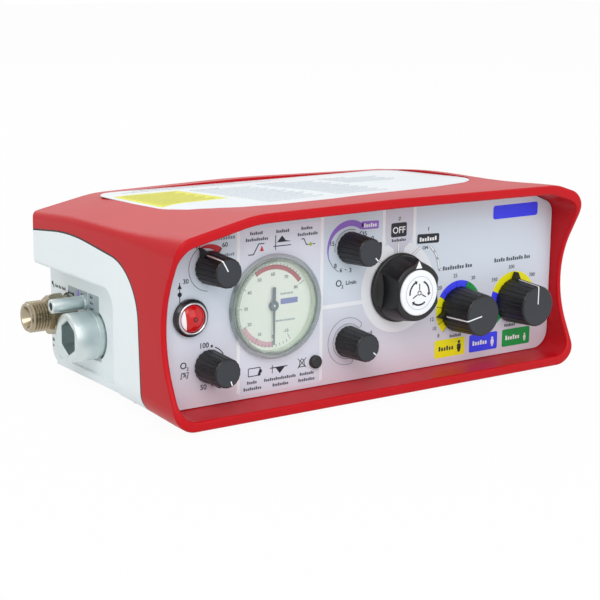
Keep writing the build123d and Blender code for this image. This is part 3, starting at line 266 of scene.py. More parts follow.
@material
def light_pipe(tree, place):
    """Clear moulded polycarbonate: it shows what lies behind it, through a faint haze."""
    haze = add(tree, "TexNoise", {"Vector": place, "Scale": 1 / (6 * MM), "Detail": 4})
    smear = add(tree, "MapRange", {"Value": haze, "To Min": 0.1, "To Max": 0.12})
    glass = add(tree, "BsdfPrincipled", {
        "Base Color": colour("f4f7f8"), "Roughness": smear, "Transmission Weight": 1.0,
        "IOR": 1.12,
    })
    through = add(tree, "BsdfTransparent", {"Color": colour("f4f7f8")})
    shadow = add(tree, "LightPath").outputs["Is Shadow Ray"]
    return add(tree, "MixShader", {"Fac": shadow, 1: glass, 2: through})


@material
def red_dome(tree, place):
    """Polished deep red acrylic: nearly solid colour in soft clouds, under a thin clear gloss."""
    cloud = add(tree, "TexNoise", {"Vector": place, "Scale": 1 / (4 * MM), "Detail": 3})
    tone = add(tree, "MixRGB", {
        "Fac": cloud, "Color1": colour("bb0d14"), "Color2": colour("d0161c"),
    })
    return add(tree, "BsdfPrincipled", {
        "Base Color": tone, "Roughness": 0.14, "IOR": 1.49, "Specular IOR Level": 0.3,
        "Coat Weight": 0.25, "Coat Roughness": 0.03,
    })


# ---------------------------------------------------------------- finishes of this object
FINISHES = {
    # PC/ABS from a textured mould: an even strong red with a soft wide highlight
    "cover": moulded("moulded_pc_abs_red", "bb0714", "c30b19", 0.39, 0.05, cloud_mm=40,
                     contrast=0.6, grain_mm=0.35, strength=0.10, depth_mm=0.05, specular=0.2),
    # ABS from a textured mould: a cool satin white
    "case": moulded("moulded_abs_white", "e9f2f5", "f0f8fa", 0.485, 0.065, cloud_mm=35,
                    grain_mm=0.4, strength=0.10, depth_mm=0.05, ior=1.53),
    # moulded elastomer cord at the joint: its dull black line is also painted shade for the shadow
    # in the seam's gap
    "seal": moulded("moulded_elastomer_black", "1b1b1d", "242427", 0.6),
    # moulded rubber feet: dusty dark grey with no shine
    "rubber": moulded("moulded_rubber_grey", "3a3b3e", "46474a", 0.75),
    # glass-filled nylon, finely textured: deep black, with grey light along its ribs
    "knob": moulded("moulded_nylon_black", "070808", "0b0b0c", 0.42, grain_mm=0.3, depth_mm=0.03),
    # the same nylon with a matt end face: a shade greyer than the skirt round it
    "knob_face": moulded("matt_nylon_grey", "22262c", "292d34", 0.55, grain_mm=0.2,
                         depth_mm=0.02),
    # moulded silicone key: soft black satin
    "button": moulded("moulded_silicone_black", "16181b", "1e2023", 0.45),
    # printed polyester disc in the mode knob's cap: clean bright white, also used for the painted
    # highlight on the indicator's dome
    "cap": printed_film("printed_polyester_white", "eceff3", "f4f6f8", 20, 0.3),
    # printed polyester film over the whole panel: pale silver with a satin sheen, and a painted
    # rose reflection of the hood floor at its foot
    "overlay": overlay_film("printed_polyester_silver"),
    # tinted fields of that film: faint mauve round the gauge, cool slate behind the mode tags
    "zone": printed_film("printed_polyester_mauve", "d2dae8", "dce0ec", 40),
    "zone_mode": printed_film("printed_polyester_slate", "c8cad8", "cfd3df", 30),
    # pale strips of that film: quiet light lines that part the fields
    "divider": printed_film("printed_polyester_pale", "e3e8ee", "eceff4", 40),
    # printed vinyl beside the connectors: a flat grey patch on the white case
    "zone_bay": printed_film("printed_vinyl_grey", "9dabb0", "a8b6bb", 30),
    # printed vinyl on the cover: cool white, a little glossier than the panel
    "label": printed_film("printed_vinyl_white", "dfe7ec", "e8eef2", 50, 0.35),
    # stove-enamelled gauge dial: the palest green white
    "dial": printed_film("stove_enamel_pale_green", "fafdf9", "ffffff", 18, 0.5),
    # painted steel gauge case: pale and glossy, seen through the clear rim
    "gauge_shell": moulded("painted_steel_pale", "dbe3d9", "e4ebe0", 0.3),
    # moulded acrylic ring: clear, with grey lines where its walls turn away
    "gauge_rim": clear_rim("moulded_acrylic_clear"),
    # painted aluminium needle: cool mid grey that stands off the dial
    "pointer": moulded("painted_aluminium_grey", "7d8794", "87919e", 0.4),
    # chromed brass pin head: a small mirror-bright point
    "bezel": metal("chromed_brass", "c8ccd2", "d4d7dc", 0.14, "Y"),
    # turned stainless screws and spindles: mid grey with short streaked glints
    "steel": metal("turned_stainless", "a8abb0", "b6b9bd", 0.3, "Y"),
    # nickelled brass, turned and threaded: warm grey gold with bright thread crests
    "inlet": metal("nickelled_brass", "a39780", "b1a690", 0.26, "X", 0.2),
    # satin anodised aluminium, turned: pale silver with broad soft bands of light
    "port": metal("satin_anodised_aluminium", "c9d4d4", "d6dfdf", 0.34, "X", 0.1),
    # machined aluminium blocks inside the case: plain light grey with straight tool lines
    "aluminium": metal("machined_aluminium", "b9bcc0", "c6c8cb", 0.35, "Y"),
    # cast acrylic window: the dial shows through it, under a slight gloss
    "lens": clear_window("cast_acrylic_clear"),
    # polished ABS ring round the indicator: black, with one sharp highlight
    "indicator_ring": moulded("gloss_abs_black", "1a1b1e", "26282c", 0.16),
    # bright nickel lip between the ring and the dome: a thin silver line
    "indicator_rim": metal("bright_nickel_plate", "b9bdc4", "c9ccd2", 0.15, "Y"),
    # polished acetal ball that turns under the dome: clean bright red
    "indicator_red": moulded("gloss_acetal_red", "d8131c", "e0202a", 0.2),
    # polished acrylic dome: deep red that glows a little where the light is strong
    "indicator_dome": red_dome("moulded_acrylic_red"),
    # solder resist on the alarm board: even dark green
    "board": moulded("solder_resist_green", "1c5a34", "23693d", 0.4),
    # shrunk PVC sleeve of the battery: pale grey and slightly shiny
    "battery": moulded("shrunk_pvc_grey", "d9dadb", "e2e3e4", 0.35),
    # nylon supply tubes: soft mid blue
    "pipe": moulded("extruded_nylon_blue", "4a6fb5", "5479bf", 0.4),
    # moulded ABS housings inside the case: plain dark grey
    "black_plastic": moulded("moulded_abs_black", "202124", "292a2e", 0.5),
    # moulded polycarbonate light pipes: small clear points in the panel
    "lamp": light_pipe("moulded_polycarbonate_clear"),
}
for name, tone in (
    ("dark", "2b2e36"),            # main lettering: soft black
    ("slate", "565b66"),           # numbers and captions of the large knobs
    ("grey", "878d99"),            # thin captions and fine outlines
    ("note", "a9b9c4"),            # small print that reads as pale grey rows
    ("white", "f3f5f7"),           # lines on knobs and marks on dark tags, a little glossier
    ("red", "c8323a"),             # pressure range and its small arrow
    ("rose", "cf7f8b"),            # high arc on the dial
    ("pink", "ecc0d0"),            # low arc on the dial
    ("yellow", "f2ec10"),          # first patient range
    ("blue", "4048ff"),            # second patient range, and the bare name tag
    ("green", "1a9a48"),           # third patient range
    ("purple", "9670d0"),          # flow range
    ("lilac", "9aa0d8"),           # small bare tags
    ("lime", "9dbb3f"),            # small dot in a pictogram
    ("soft_yellow", "e6e436"),     # block on the top label
    ("olive", "a9a93c"),           # small print on that block
):
    FINISHES[name] = ink("screen_ink_" + name, tone, 0.35 if name == "white" else 0.45)

NODE_FINISH = {
    "cover": ["top_cover"],
    "case": ["lower_case", "battery_cap"],
    "seal": ["case_seal"],
    "rubber": ["rubber_feet"],
    "knob": [name + "_knob" for name in CONTROLS],
    "cap": ["mode_knob_cap"],
    "button": ["silence_button"],
    "overlay": ["panel_overlay"],
    "label": ["top_label"],
    "dial": ["gauge_dial"],
    "pointer": ["gauge_pointer"],
    "bezel": ["gauge_bezel"],
    "lens": ["gauge_lens", "indicator_lens"],
    "indicator_ring": ["indicator_ring"],
    "indicator_red": ["indicator_rotor"],
    "inlet": ["gas_inlet_fitting"],
    "port": ["patient_outlet_port", "flow_outlet_spigot"],
    "steel": [name + "_spindle" for name in CONTROLS] + [
        "case_screws", "panel_screws", "spindle_nuts", "silence_snap_dome", "battery_contact",
        "inlet_filter", "board_spacers",
    ],
    "aluminium": [name + "_valve" for name in CONTROLS] + [
        "front_panel", "manifold_block", "regulator_body",
    ],
    "black_plastic": ["gauge_capsule", "silence_switch", "alarm_sounder"],
    "gauge_shell": ["gauge_case"],
    "board": ["alarm_board"],
    "lamp": ["status_lamps"],
    "battery": ["alarm_battery"],
    "pipe": ["supply_pipes"],
}
for finish, names in NODE_FINISH.items():
    for name in names:
        NODES[name].data.materials.clear()
        NODES[name].data.materials.append(FINISHES[finish])


# ---------------------------------------------------------------- making pieces
def in_scene(name, data):
    """A new object in the scene."""
    made = bpy.data.objects.new(name, data)
    bpy.context.scene.collection.objects.link(made)
    return made


def piece(name, bm, finish, body="root", sharp=35):
    """Turns a bmesh in metres into a named piece that rides on a body."""
    mesh = bpy.data.meshes.new(name)
    bm.to_mesh(mesh)
    bm.free()
    mesh.materials.append(FINISHES[finish])
    mesh.shade_smooth()
    mesh.set_sharp_from_angle(angle=math.radians(sharp))
    made = in_scene(name, mesh)
    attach(made, body)
    return made


def film(name, art, place, finish, body="root", layer=0, slot="overlay", thick=INK, rise=None):
    """Makes a flat drawing a closed film of ink and lays it on its surface.

    A higher layer is thicker by a film for each one below it, so it shows over them. On a
    curved surface, rise gives its height over the flat place at a point of the drawing.
    """
    flat = art.faces[:]
    bmesh.ops.recalc_face_normals(art, faces=flat)
    down = [face for face in flat if face.normal.z < 0]
    bmesh.ops.reverse_faces(art, faces=down)
    bmesh.ops.solidify(art, geom=flat, thickness=thick + layer * INK)
    bmesh.ops.recalc_face_normals(art, faces=art.faces)
    lowest = min(vert.co.z for vert in art.verts)
    bmesh.ops.translate(art, verts=art.verts, vec=(0, 0, -lowest))
    for vert in art.verts if rise else ():
        vert.co.z += rise(vert.co.x, vert.co.y)
    art.transform(place)
    return piece(name, art, finish, body)


@contextmanager
def printed(name, finish, layer=0, place=PANEL, **how):
    """Opens a drawing for its marks, and makes it a film on its surface once they are drawn."""
    art = bmesh.new()
    yield art
    film(name, art, place, finish, layer=layer, **how)


def turned(name, profile, place, finish, body="root", sharp=40, shaped=None, steps=96):
    """A piece turned about the line out of a surface; its profile is (radius, height) in mm.

    A shaping rule takes a radius, a height and an angle from the top, and gives the new radius.
    """
    bm = bmesh.new()
    verts = [bm.verts.new((radius, 0, height)) for radius, height in profile]
    edges = [bm.edges.new(pair) for pair in zip(verts, verts[1:])]
    if profile[0][0] > 0:
        edges.append(bm.edges.new((verts[-1], verts[0])))
    bmesh.ops.spin(bm, geom=verts + edges, cent=(0, 0, 0), axis=(0, 0, 1),
                   angle=math.tau, steps=steps, use_merge=True)
    bmesh.ops.remove_doubles(bm, verts=bm.verts, dist=0.001)
    for vert in bm.verts if shaped else ():
        radius = vert.co.xy.length
        angle = math.degrees(math.atan2(vert.co.x, vert.co.y))
        if radius > 0.001:
            vert.co.xy *= shaped(radius, vert.co.z, angle) / radius
    bmesh.ops.recalc_face_normals(bm, faces=bm.faces)
    bm.transform(place)
    return piece(name, bm, finish, body, sharp)


def hexagon_bore(radius, height, angle):
    """Shapes what lies inside the mouth of the outlet to a hexagon, corners up and down."""
    mouth = 8.5            # mm, and what lies further out stays round
    if radius > mouth:
        return radius
    off_flat = angle % 60 - 30
    return radius * math.cos(math.radians(30)) / math.cos(math.radians(off_flat))


def finger_grip(radius, height, angle):
    """Shapes the mode knob: a ridge under the pointer, and a flat for a finger at each side."""
    skirt_top, face_edge = 1.8, 10.5     # mm, and what lies lower or further in stays round
    ridge = 9                            # degrees, half the ridge's width
    far, hollow = 39.8, 29.1             # mm, middle of the hollow from the axis, and its radius
    if height < skirt_top or radius < face_edge:
        return radius
    off_top = abs(angle)
    if off_top < ridge:
        return radius + (0.2 + 0.17 * (height - skirt_top)) * (1 - off_top / ridge)
    off_side = math.radians(abs(off_top - 90))
    across = far * math.sin(off_side)
    if across >= hollow:
        return radius
    floor = far * math.cos(off_side) - math.sqrt(hollow ** 2 - across ** 2)
    return min(radius, floor + max(0, 3.0 - height) * 2.5)


# ---------------------------------------------------------------- drawing
def shape(art, points):
    """A filled outline through a few points."""
    art.faces.new([art.verts.new((x, y, 0)) for x, y in points])


def bar(art, begin, end, width):
    """A straight line of a given width."""
    begin, end = Vector(begin), Vector(end)
    side = (end - begin).normalized().orthogonal() * width / 2
    shape(art, [begin + side, end + side, end - side, begin - side])


def tick(art, centre, inner, outer, angle, width):
    """A short line that points away from a centre."""
    bar(art, polar(centre, inner, angle), polar(centre, outer, angle), width)


def path(art, points, width):
    """Joined straight lines with round corners."""
    for begin, end in zip(points, points[1:]):
        bar(art, begin, end, width)
    for point in points[1:-1]:
        disc(art, point, width / 2, 10)


def disc(art, centre, radius, segments):
    """A filled circle."""
    spot = Matrix.Translation((centre[0], centre[1], 0))
    bmesh.ops.create_circle(art, cap_ends=True, segments=segments, radius=radius, matrix=spot)


def band(art, centre, inner, outer, begin, end):
    """A ring, or the part of one from one angle to another; gives back its points."""
    before = set(art.verts)
    ends = [art.verts.new((*polar(centre, radius, begin), 0)) for radius in (inner, outer)]
    edge = art.edges.new(ends)
    sweep = end - begin
    bmesh.ops.spin(
        art, geom=[edge, *ends], cent=(centre[0], centre[1], 0), axis=(0, 0, 1),
        angle=-math.radians(sweep), steps=max(2, round(abs(sweep) / 5)), use_merge=sweep >= 360,
    )
    return [vert for vert in art.verts if vert not in before]


def crescent(art, centre, radius, thin, wide, begin, end):
    """A band whose inner edge draws in from thin to wide as it goes round."""
    for vert in band(art, centre, radius - wide, radius, begin, end):
        arm = vert.co.xy - Vector(centre)
        if arm.length < radius - wide / 2:
            share = (math.degrees(math.atan2(arm.x, arm.y)) - begin) / (end - begin)
            arm.length = radius - thin - (wide - thin) * share
            vert.co.xy = Vector(centre) + arm


def tile(art, centre, size, radius, turn=0.0):
    """A rectangle with round corners, turned by some degrees."""
    place = Matrix.Translation((centre[0], centre[1], 0))
    place = place @ Matrix.Rotation(math.radians(turn), 4, "Z")
    stretch = Matrix.Diagonal((size[0] / 2, size[1] / 2, 1, 1))
    made = bmesh.ops.create_grid(art, x_segments=1, y_segments=1, size=1, matrix=place @ stretch)
    bmesh.ops.bevel(art, geom=made["verts"], offset=radius, segments=5, profile=0.5,
                    affect="VERTICES", material=-1, clamp_overlap=True)


def words(art, text, centre, height, slant=0.0):
    """Plain lettering, centred on a point; height is that of a capital."""
    curve = bpy.data.curves.new("lettering", "FONT")
    curve.body = text
    curve.size = height / 0.73             # a capital is 0.73 of the font's size
    curve.offset = 0.015 * height          # fattens thin strokes a little
    curve.shear = slant
    curve.align_x = "CENTER"
    curve.resolution_u = 3
    holder = bpy.data.objects.new("lettering", curve)
    mesh = bpy.data.meshes.new_from_object(holder)
    mesh.transform(Matrix.Translation((centre[0], centre[1] - height / 2, 0)))
    art.from_mesh(mesh)
    bpy.data.objects.remove(holder)
    bpy.data.curves.remove(curve)
    bpy.data.meshes.remove(mesh)


def note(art, left, right, z, height, breaks=()):
    """A row of small blocks where a caption would stand, parted into words at the given shares."""
    marks = [0.0, *breaks, 1.0]
    pitch = 0.72 * height
    for begin, end in zip(marks, marks[1:]):
        first = left + (right - left) * begin + (pitch / 2 if begin else 0)
        last = left + (right - left) * end
        count = max(1, round((last - first) / pitch))
        for place in range(count):
            x = first + (last - first) * place / count
            top = z + height / 2 - (0.28 * height if place % 3 else 0)
            bottom = z - height / 2
            wide = 0.68 * (last - first) / count
            shape(art, [(x, bottom), (x + wide, bottom), (x + wide, top), (x, top)])


def person(art, foot, height):
    """A simple standing figure."""
    x, z = foot
    disc(art, (x, z + height * 0.86), height * 0.14, 16)
    tile(art, (x, z + height * 0.45), (height * 0.42, height * 0.5), height * 0.1)
    tile(art, (x, z + height * 0.14), (height * 0.26, height * 0.28), height * 0.06)


# ---------------------------------------------------------------- panel printing
def panel_zones():
    """The toned fields of the overlay and the pale lines that part them."""
    gauge = on_panel("gauge_dial")
    left, right, bottom, top = -70.2, -27.6, 7.1, 78.3      # field round the gauge
    hole = 20.8            # radius of the gauge's opening in that field
    covered = 12.1         # half of what the gauge's rim covers of the field's left edge
    # degrees from straight up or down at which the opening meets that edge
    meets = math.degrees(math.asin((gauge.x - left) / hole))
    around = [180 + meets - (180 + 2 * meets) * step / 60 for step in range(61)]
    with printed("overlay_gauge_field", "zone") as art:
        shape(art, [(left, top), (right, top), (right, bottom), (left, bottom)]
              + [polar(gauge, hole, angle) for angle in around])
    with printed("overlay_dividers", "divider", 1) as art:
        bar(art, (right, 8.0), (right, 81.0), 1.6)
        bar(art, (left, 8.0), (left, gauge.y - covered), 1.6)
        bar(art, (left, gauge.y + covered), (left, 81.0), 1.6)
    with printed("overlay_cross_dividers", "divider", 1) as art:
        bar(art, (-26.8, 40.3), (-5.2, 40.3), 1.7)
        bar(art, (5.9, 62.0), (5.9, 81.8), 1.7)
        bar(art, (23.2, 62.0), (23.2, 81.8), 1.7)
    with printed("overlay_mode_halo", "divider", 2) as art:
        band(art, CENTRES["mode"], 8.0, 20.6, 0, 360)
    with printed("overlay_mode_field", "zone_mode", 3) as art:
        shape(art, [(6.8, 68.0), (6.8, 82.2), (22.3, 82.2), (22.3, 68.0), (20.6, 64.6),
                    (17.6, 62.4), (17.0, 59.5), (12.0, 59.5), (11.4, 62.4), (8.4, 64.6)])


def alarm_print():
    """Scale round the alarm pressure knob, and the mark of the supply indicator."""
    centre = CENTRES["alarm_pressure"]
    with printed("alarm_scale_print", "dark", 2) as art:
        for text, angle, radius in (("40", -32, 11.0), ("60", 40, 11.6), ("30", -112, 12.2)):
            words(art, text, polar(centre, radius, angle), 2.0)
        band(art, centre, 9.75, 9.95, -175, -32)
        tick(art, centre, 8.0, 9.9, -32, 0.35)
        tick(art, centre, 6.0, 9.4, 38, 0.5)
        x, z = on_panel("indicator_ring")
        bar(art, (x - 4.6, z + 6.5), (x - 4.6, z + 15.0), 0.35)
        disc(art, (x - 4.6, z + 10.0), 1.0, 16)
        shape(art, [(x - 5.6, z + 12.4), (x - 3.6, z + 12.4), (x - 4.6, z + 14.4)])
    with printed("alarm_caption_bars", "grey", 2) as art:
        note(art, centre.x - 5.9, centre.x + 12.6, centre.y + 11.8, 1.7, (0.38,))
        note(art, centre.x + 5.2, centre.x + 12.2, centre.y + 4.6, 1.3)
    with printed("alarm_red_scale", "red", 1) as art:
        crescent(art, centre, 9.7, 0.5, 3.3, -31, 37)


def oxygen_print():
    """Scale round the oxygen mix knob."""
    centre = CENTRES["oxygen_mix"]
    with printed("oxygen_scale_print", "dark", 2) as art:
        words(art, "100", polar(centre, 9.4, -14), 2.3)
        words(art, "50", polar(centre, 9.1, -163), 2.3)
        disc(art, polar(centre, 8.4, 10), 0.55, 16)
        disc(art, polar(centre, 8.4, 169), 0.55, 16)
        band(art, centre, 8.0, 8.4, 22, 60)
        words(art, "O", (centre.x - 12.2, centre.y + 1.8), 2.9)
        words(art, "2", (centre.x - 10.2, centre.y + 0.2), 1.5)
        words(art, "[%]", (centre.x - 11.8, centre.y - 2.2), 2.1, slant=0.2)


def flow_print():
    """Scale round the flow knob with its purple range."""
    centre = CENTRES["flow"]
    marks = (("15", -75, 9.9), ("8", -134, 10.6), ("6", -154, 10.6), ("3", 177, 10.0),
             ("35", 55, 9.6), ("0", 76, 12.8))
    with printed("flow_scale_print", "dark", 2) as art:
        for text, angle, radius in marks:
            words(art, text, polar(centre, radius, angle), 2.0)
        bar(art, polar(centre, 9.9, -170), polar(centre, 9.9, -165), 0.3)
        tick(art, centre, 6.4, 9.2, 43, 0.35)
        band(art, centre, 7.9, 8.1, -100, 20)
        band(art, centre, 11.7, 11.9, -150, -112)
        words(art, "O", (centre.x - 5.7, centre.y - 15.3), 3.0)
        words(art, "2", (centre.x - 3.7, centre.y - 17.0), 1.6)
        words(art, "L/min", (centre.x + 1.0, centre.y - 15.5), 1.9)
    with printed("flow_purple_scale", "purple", 1) as art:
        crescent(art, centre, 12.1, 0.2, 2.7, -115, -20)
        band(art, centre, 9.4, 12.1, -20, 38)
        tile(art, (centre.x + 11.0, centre.y + 9.0), (9.4, 3.6), 0.5, -1.5)
    with printed("flow_tag_bar", "white", 2) as art:
        note(art, centre.x + 7.6, centre.x + 14.8, centre.y + 9.0, 1.8)


def peep_print():
    """The outlined C that runs round the PEEP knob."""
    centre = CENTRES["peep"]
    begin, end = -190, 42
    inner, outer = 7.9, 10.6
    half_line = 0.13
    with printed("peep_scale_print", "grey", 2) as art:
        for radius in (inner, outer):
            band(art, centre, radius - half_line, radius + half_line, begin, end)
        # a half ring closes each end
        for angle, first in ((begin, begin - 180), (end, end)):
            cap = (outer - inner) / 2
            spot = polar(centre, inner + cap, angle)
            band(art, spot, cap - half_line, cap + half_line, first, first + 180)
    with printed("peep_caption_bar", "grey", 2) as art:
        note(art, centre.x + 8.2, centre.x + 14.0, centre.y + 2.2, 1.9)


def mode_print():
    """The tags and lead lines over the mode knob."""
    lead_lines = [
        ([(14.2, 59.6), (14.2, 64.6)], 1.2),
        ([polar(CENTRES["mode"], 16, 30), (26.4, 61.6)], 1.2),
        ([(32.4, 61.8), (35.0, 59.2), (36.9, 55.8), (38.2, 50.4), (39.8, 50.2)], 1.1),
        ([(2.2, 59.0), (5.8, 55.8)], 1.1),
    ]
    # each line is white on a wider grey one, which gives it a fine edge
    for name, tone, layer, less in (("mode_line_edges", "grey", 4, 0),
                                    ("mode_lines", "white", 5, 0.4)):
        with printed(name, tone, layer) as art:
            for points, width in lead_lines:
                path(art, points, width - less)
    with printed("mode_tags", "dark", 4) as art:
        tile(art, (14.2, 70.9), (8.8, 6.4), 0.9)
        tile(art, (31.2, 65.4), (12.6, 4.3), 0.7, -2)
        tile(art, (-0.9, 64.0), (11.4, 4.6), 0.7)
        words(art, "0", (14.3, 76.0), 1.8, slant=0.2)
        words(art, "1", (31.1, 69.9), 1.8, slant=0.2)
        words(art, "ON", (29.6, 61.4), 1.5)
        note(art, 10.3, 18.4, 66.3, 1.3)
    with printed("mode_tag_lettering", "white", 5) as art:
        words(art, "OFF", (14.2, 70.9), 3.0)
        note(art, 26.2, 36.4, 65.3, 1.9)
        note(art, -5.4, 2.6, 64.0, 1.9)


def range_print(name, outer, reach, numbers, ranges, captions):
    """A large knob's numbers and caption bars, and its ring of the three patients' ranges."""
    centre = CENTRES[name]
    with printed(name + "_numbers", "slate", 2) as art:
        for text, angle in numbers:
            words(art, text, polar(centre, reach, angle), 1.8)
    with printed(name + "_caption_bars", "slate", 2) as art:
        for left, right, rise, height, breaks in captions:
            note(art, left, right, centre.y + rise, height, breaks)
    for tone, begin, end in ranges:
        with printed(f"{name}_range_{tone}", tone, 1) as art:
            band(art, centre, RING_INNER, outer, begin, end)


def rate_print():
    """Numbers, ring and ticks of the rate knob."""
    centre = CENTRES["rate"]
    outer = 13.5
    range_print(
        "rate", outer, 16.2,
        (("8", -134), ("10", -118), ("12", -101), ("20", -46), ("25", -9), ("30", 31)),
        (("yellow", -138, -58), ("blue", -58, 22), ("green", 22, 60)),
        ((40.4, 58.2, 20.0, 1.9, (0.72,)), (45.6, 52.6, -12.4, 1.4, ())),
    )
    with printed("rate_ticks", "dark", 2) as art:
        for angle in (-138, -117, -100, -80, -58, -45, -9, 22, 31, 60):
            tick(art, centre, RING_INNER, outer, angle, 0.25)


def volume_print():
    """Numbers and ring of the tidal volume knob, and the three coloured tags."""
    range_print(
        "volume", 13.8, 16.3,
        (("350", -47), ("500", -5), ("700", 47)),
        (("green", -138, -112), ("blue", -112, -66), ("yellow", -66, 72)),
        ((71.6, 94.4, 20.2, 1.9, (0.3, 0.8)), (79.4, 86.4, -12.0, 1.4, ())),
    )
    # each patient's tag: its colour, place and width, and its figure's height and ink
    tags = (("yellow", 45.8, 18.0, 5.6, "dark"), ("blue", 66.4, 17.4, 4.6, "white"),
            ("green", 87.0, 17.6, 3.7, "white"))
    for tone, x, wide, tall, figure in tags:
        with printed("patient_tag_" + tone, tone, 1) as art:
            tile(art, (x, 12.7), (wide, 8.4), 0.9)
        with printed("patient_figure_" + tone, figure, 2) as art:
            person(art, (x + 5.6, 10.0), tall)
            note(art, x - 6.6, x + 2.6, 12.7, 2.2)


def status_print():
    """Pictograms and caption bars above and below the gauge, and the bare name tag."""
    captions = (
        (-64.5, -58.0, 76.2), (-66.6, -55.3, 73.6), (-51.4, -44.6, 76.0), (-38.6, -32.6, 76.2),
        (-40.4, -29.9, 73.6), (-65.8, -60.7, 12.1), (-67.6, -58.4, 9.4), (-57.1, -40.6, 12.1),
        (-52.8, -44.5, 9.4), (-38.7, -31.1, 12.1), (-39.4, -30.6, 9.4),
    )
    with printed("status_pictograms", "dark", 3) as art:
        # pressure high, pressure held and pressure low, over the gauge
        path(art, [(-65.4, 67.2), (-62.8, 67.2), (-60.2, 71.5), (-57.4, 71.5)], 0.4)
        bar(art, (-51.7, 74.4), (-51.7, 68.2), 0.35)
        bar(art, (-52.8, 69.7), (-43.8, 69.7), 0.35)
        shape(art, [(-51.0, 71.3), (-48.4, 74.0), (-46.6, 71.9), (-43.8, 71.3)])
        path(art, [(-38.4, 71.6), (-37.2, 71.6), (-35.9, 69.0), (-34.9, 69.0)], 0.4)
        bar(art, (-32.6, 69.0), (-31.4, 69.0), 0.4)
        # battery, breath and silenced bell, under it
        path(art, [(-65.2, 18.2), (-59.2, 18.2), (-59.2, 14.8), (-65.2, 14.8), (-65.2, 18.2)],
             0.35)
        shape(art, [(-60.6, 14.8), (-59.2, 14.8), (-59.2, 18.2)])
        bar(art, (-58.7, 15.8), (-58.7, 17.2), 0.6)
        bar(art, (-54.2, 17.0), (-45.2, 17.0), 0.35)
        shape(art, [(-51.4, 17.0), (-49.2, 14.2), (-46.4, 17.0)])
        bar(art, (-53.0, 14.6), (-53.0, 18.2), 0.3)
        path(art, [(-39.4, 15.4), (-35.8, 15.4), (-36.4, 16.2), (-36.5, 18.0), (-37.6, 19.0),
                   (-38.7, 18.0), (-38.8, 16.2), (-39.4, 15.4)], 0.3)
        bar(art, (-39.8, 19.2), (-35.4, 14.9), 0.3)
        bar(art, (-35.4, 19.2), (-39.8, 14.9), 0.3)
    with printed("status_caption_bars", "slate", 3) as art:
        for left, right, z in captions:
            note(art, left, right, z, 1.35)
    with printed("status_red_mark", "red", 3) as art:
        shape(art, [(-59.6, 68.3), (-57.6, 68.3), (-58.6, 70.7)])
    with printed("status_green_mark", "lime", 3) as art:
        disc(art, (-33.8, 69.0), 0.8, 16)
    with printed("blank_name_tag", "blue", 1) as art:
        tile(art, (83.8, 73.9), (27.9, 6.4), 1.3)


# ---------------------------------------------------------------- gauge
def gauge_print():
    """The gauge's clear rim, and the arcs, ticks and numbers on its dial."""
    bezel = turned("gauge_rim", [
        (22.6, 0.0), (22.6, 2.2), (22.2, 3.3), (21.7, 3.95), (21.2, 4.1), (20.9, 3.95),
        (20.75, 3.6), (20.45, 3.6), (20.3, 3.9), (20.0, 3.9), (19.7, 3.6), (19.45, 3.05),
        (19.45, 2.9), (20.55, 2.9), (20.55, 0.0),
    ], facing_front("gauge_lens", PANEL_FACE), "gauge_rim", sharp=25)
    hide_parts("gauge_bezel")
    zero, step = 180, 30     # dial angle of 0, and of each 10 above it
    origin = (0, 0)
    on_dial = dict(place=facing_front("gauge_dial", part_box("gauge_dial")[0].y), slot="dial")
    with printed("dial_red_arc", "rose", **on_dial) as art:
        band(art, origin, 15.6, 17.6, zero + 5 * step - 2, zero + 8 * step - 4)
    with printed("dial_pink_arc", "pink", **on_dial) as art:
        band(art, origin, 15.8, 18.2, zero, zero + 2 * step)
    with printed("dial_numbers", "grey", 1, **on_dial) as art:
        for value in range(-10, 81, 10):
            words(art, str(value), polar(origin, 13.6, zero + step * value / 10), 1.5)
        for value in range(-10, 81, 2):
            angle = zero + step * value / 10
            inner = 15.4 if value % 10 == 0 else 17.2
            tick(art, origin, inner, 18.3, angle, 0.22)
    with printed("dial_caption_bars", "note", 1, **on_dial) as art:
        note(art, 4.0, 10.4, 4.6, 0.9)
        note(art, 1.6, 11.6, -7.0, 0.9, (0.4,))
    with printed("dial_blank_tag", "lilac", 1, **on_dial) as art:
        tile(art, (8.4, 1.2), (8.8, 2.4), 0.3)


def gauge_needle():
    """The slim pointer on its round hub, with the bright head of its pin."""
    low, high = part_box("gauge_pointer")
    axle = middle("gauge_dial").z
    plane = facing_front("gauge_dial", low.y + 0.8 * MM)
    tail, reach = (high.z - axle) / MM, (axle - low.z) / MM
    art = bmesh.new()
    shape(art, [(-0.7, tail), (0.7, tail), (0.7, 0), (0.45, -2.2), (0.24, -reach),
                (-0.24, -reach), (-0.45, -2.2), (-0.7, 0)])
    blade = film("needle_blade", art, plane, "pointer", "gauge_needle", slot="pointer", thick=0.4)
    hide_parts("gauge_pointer")
    hub = [(0.0, 0.75), (1.5, 0.75), (2.0, 0.62), (2.2, 0.35), (2.2, -0.5), (0.0, -0.5)]
    turned("needle_hub", hub, plane, "pointer", "gauge_needle")
    head = [(0.0, 0.9), (0.4, 0.86), (0.6, 0.74), (0.6, 0.6), (0.0, 0.6)]
    turned("needle_pin_head", head, plane, "bezel", "gauge_needle", steps=32)


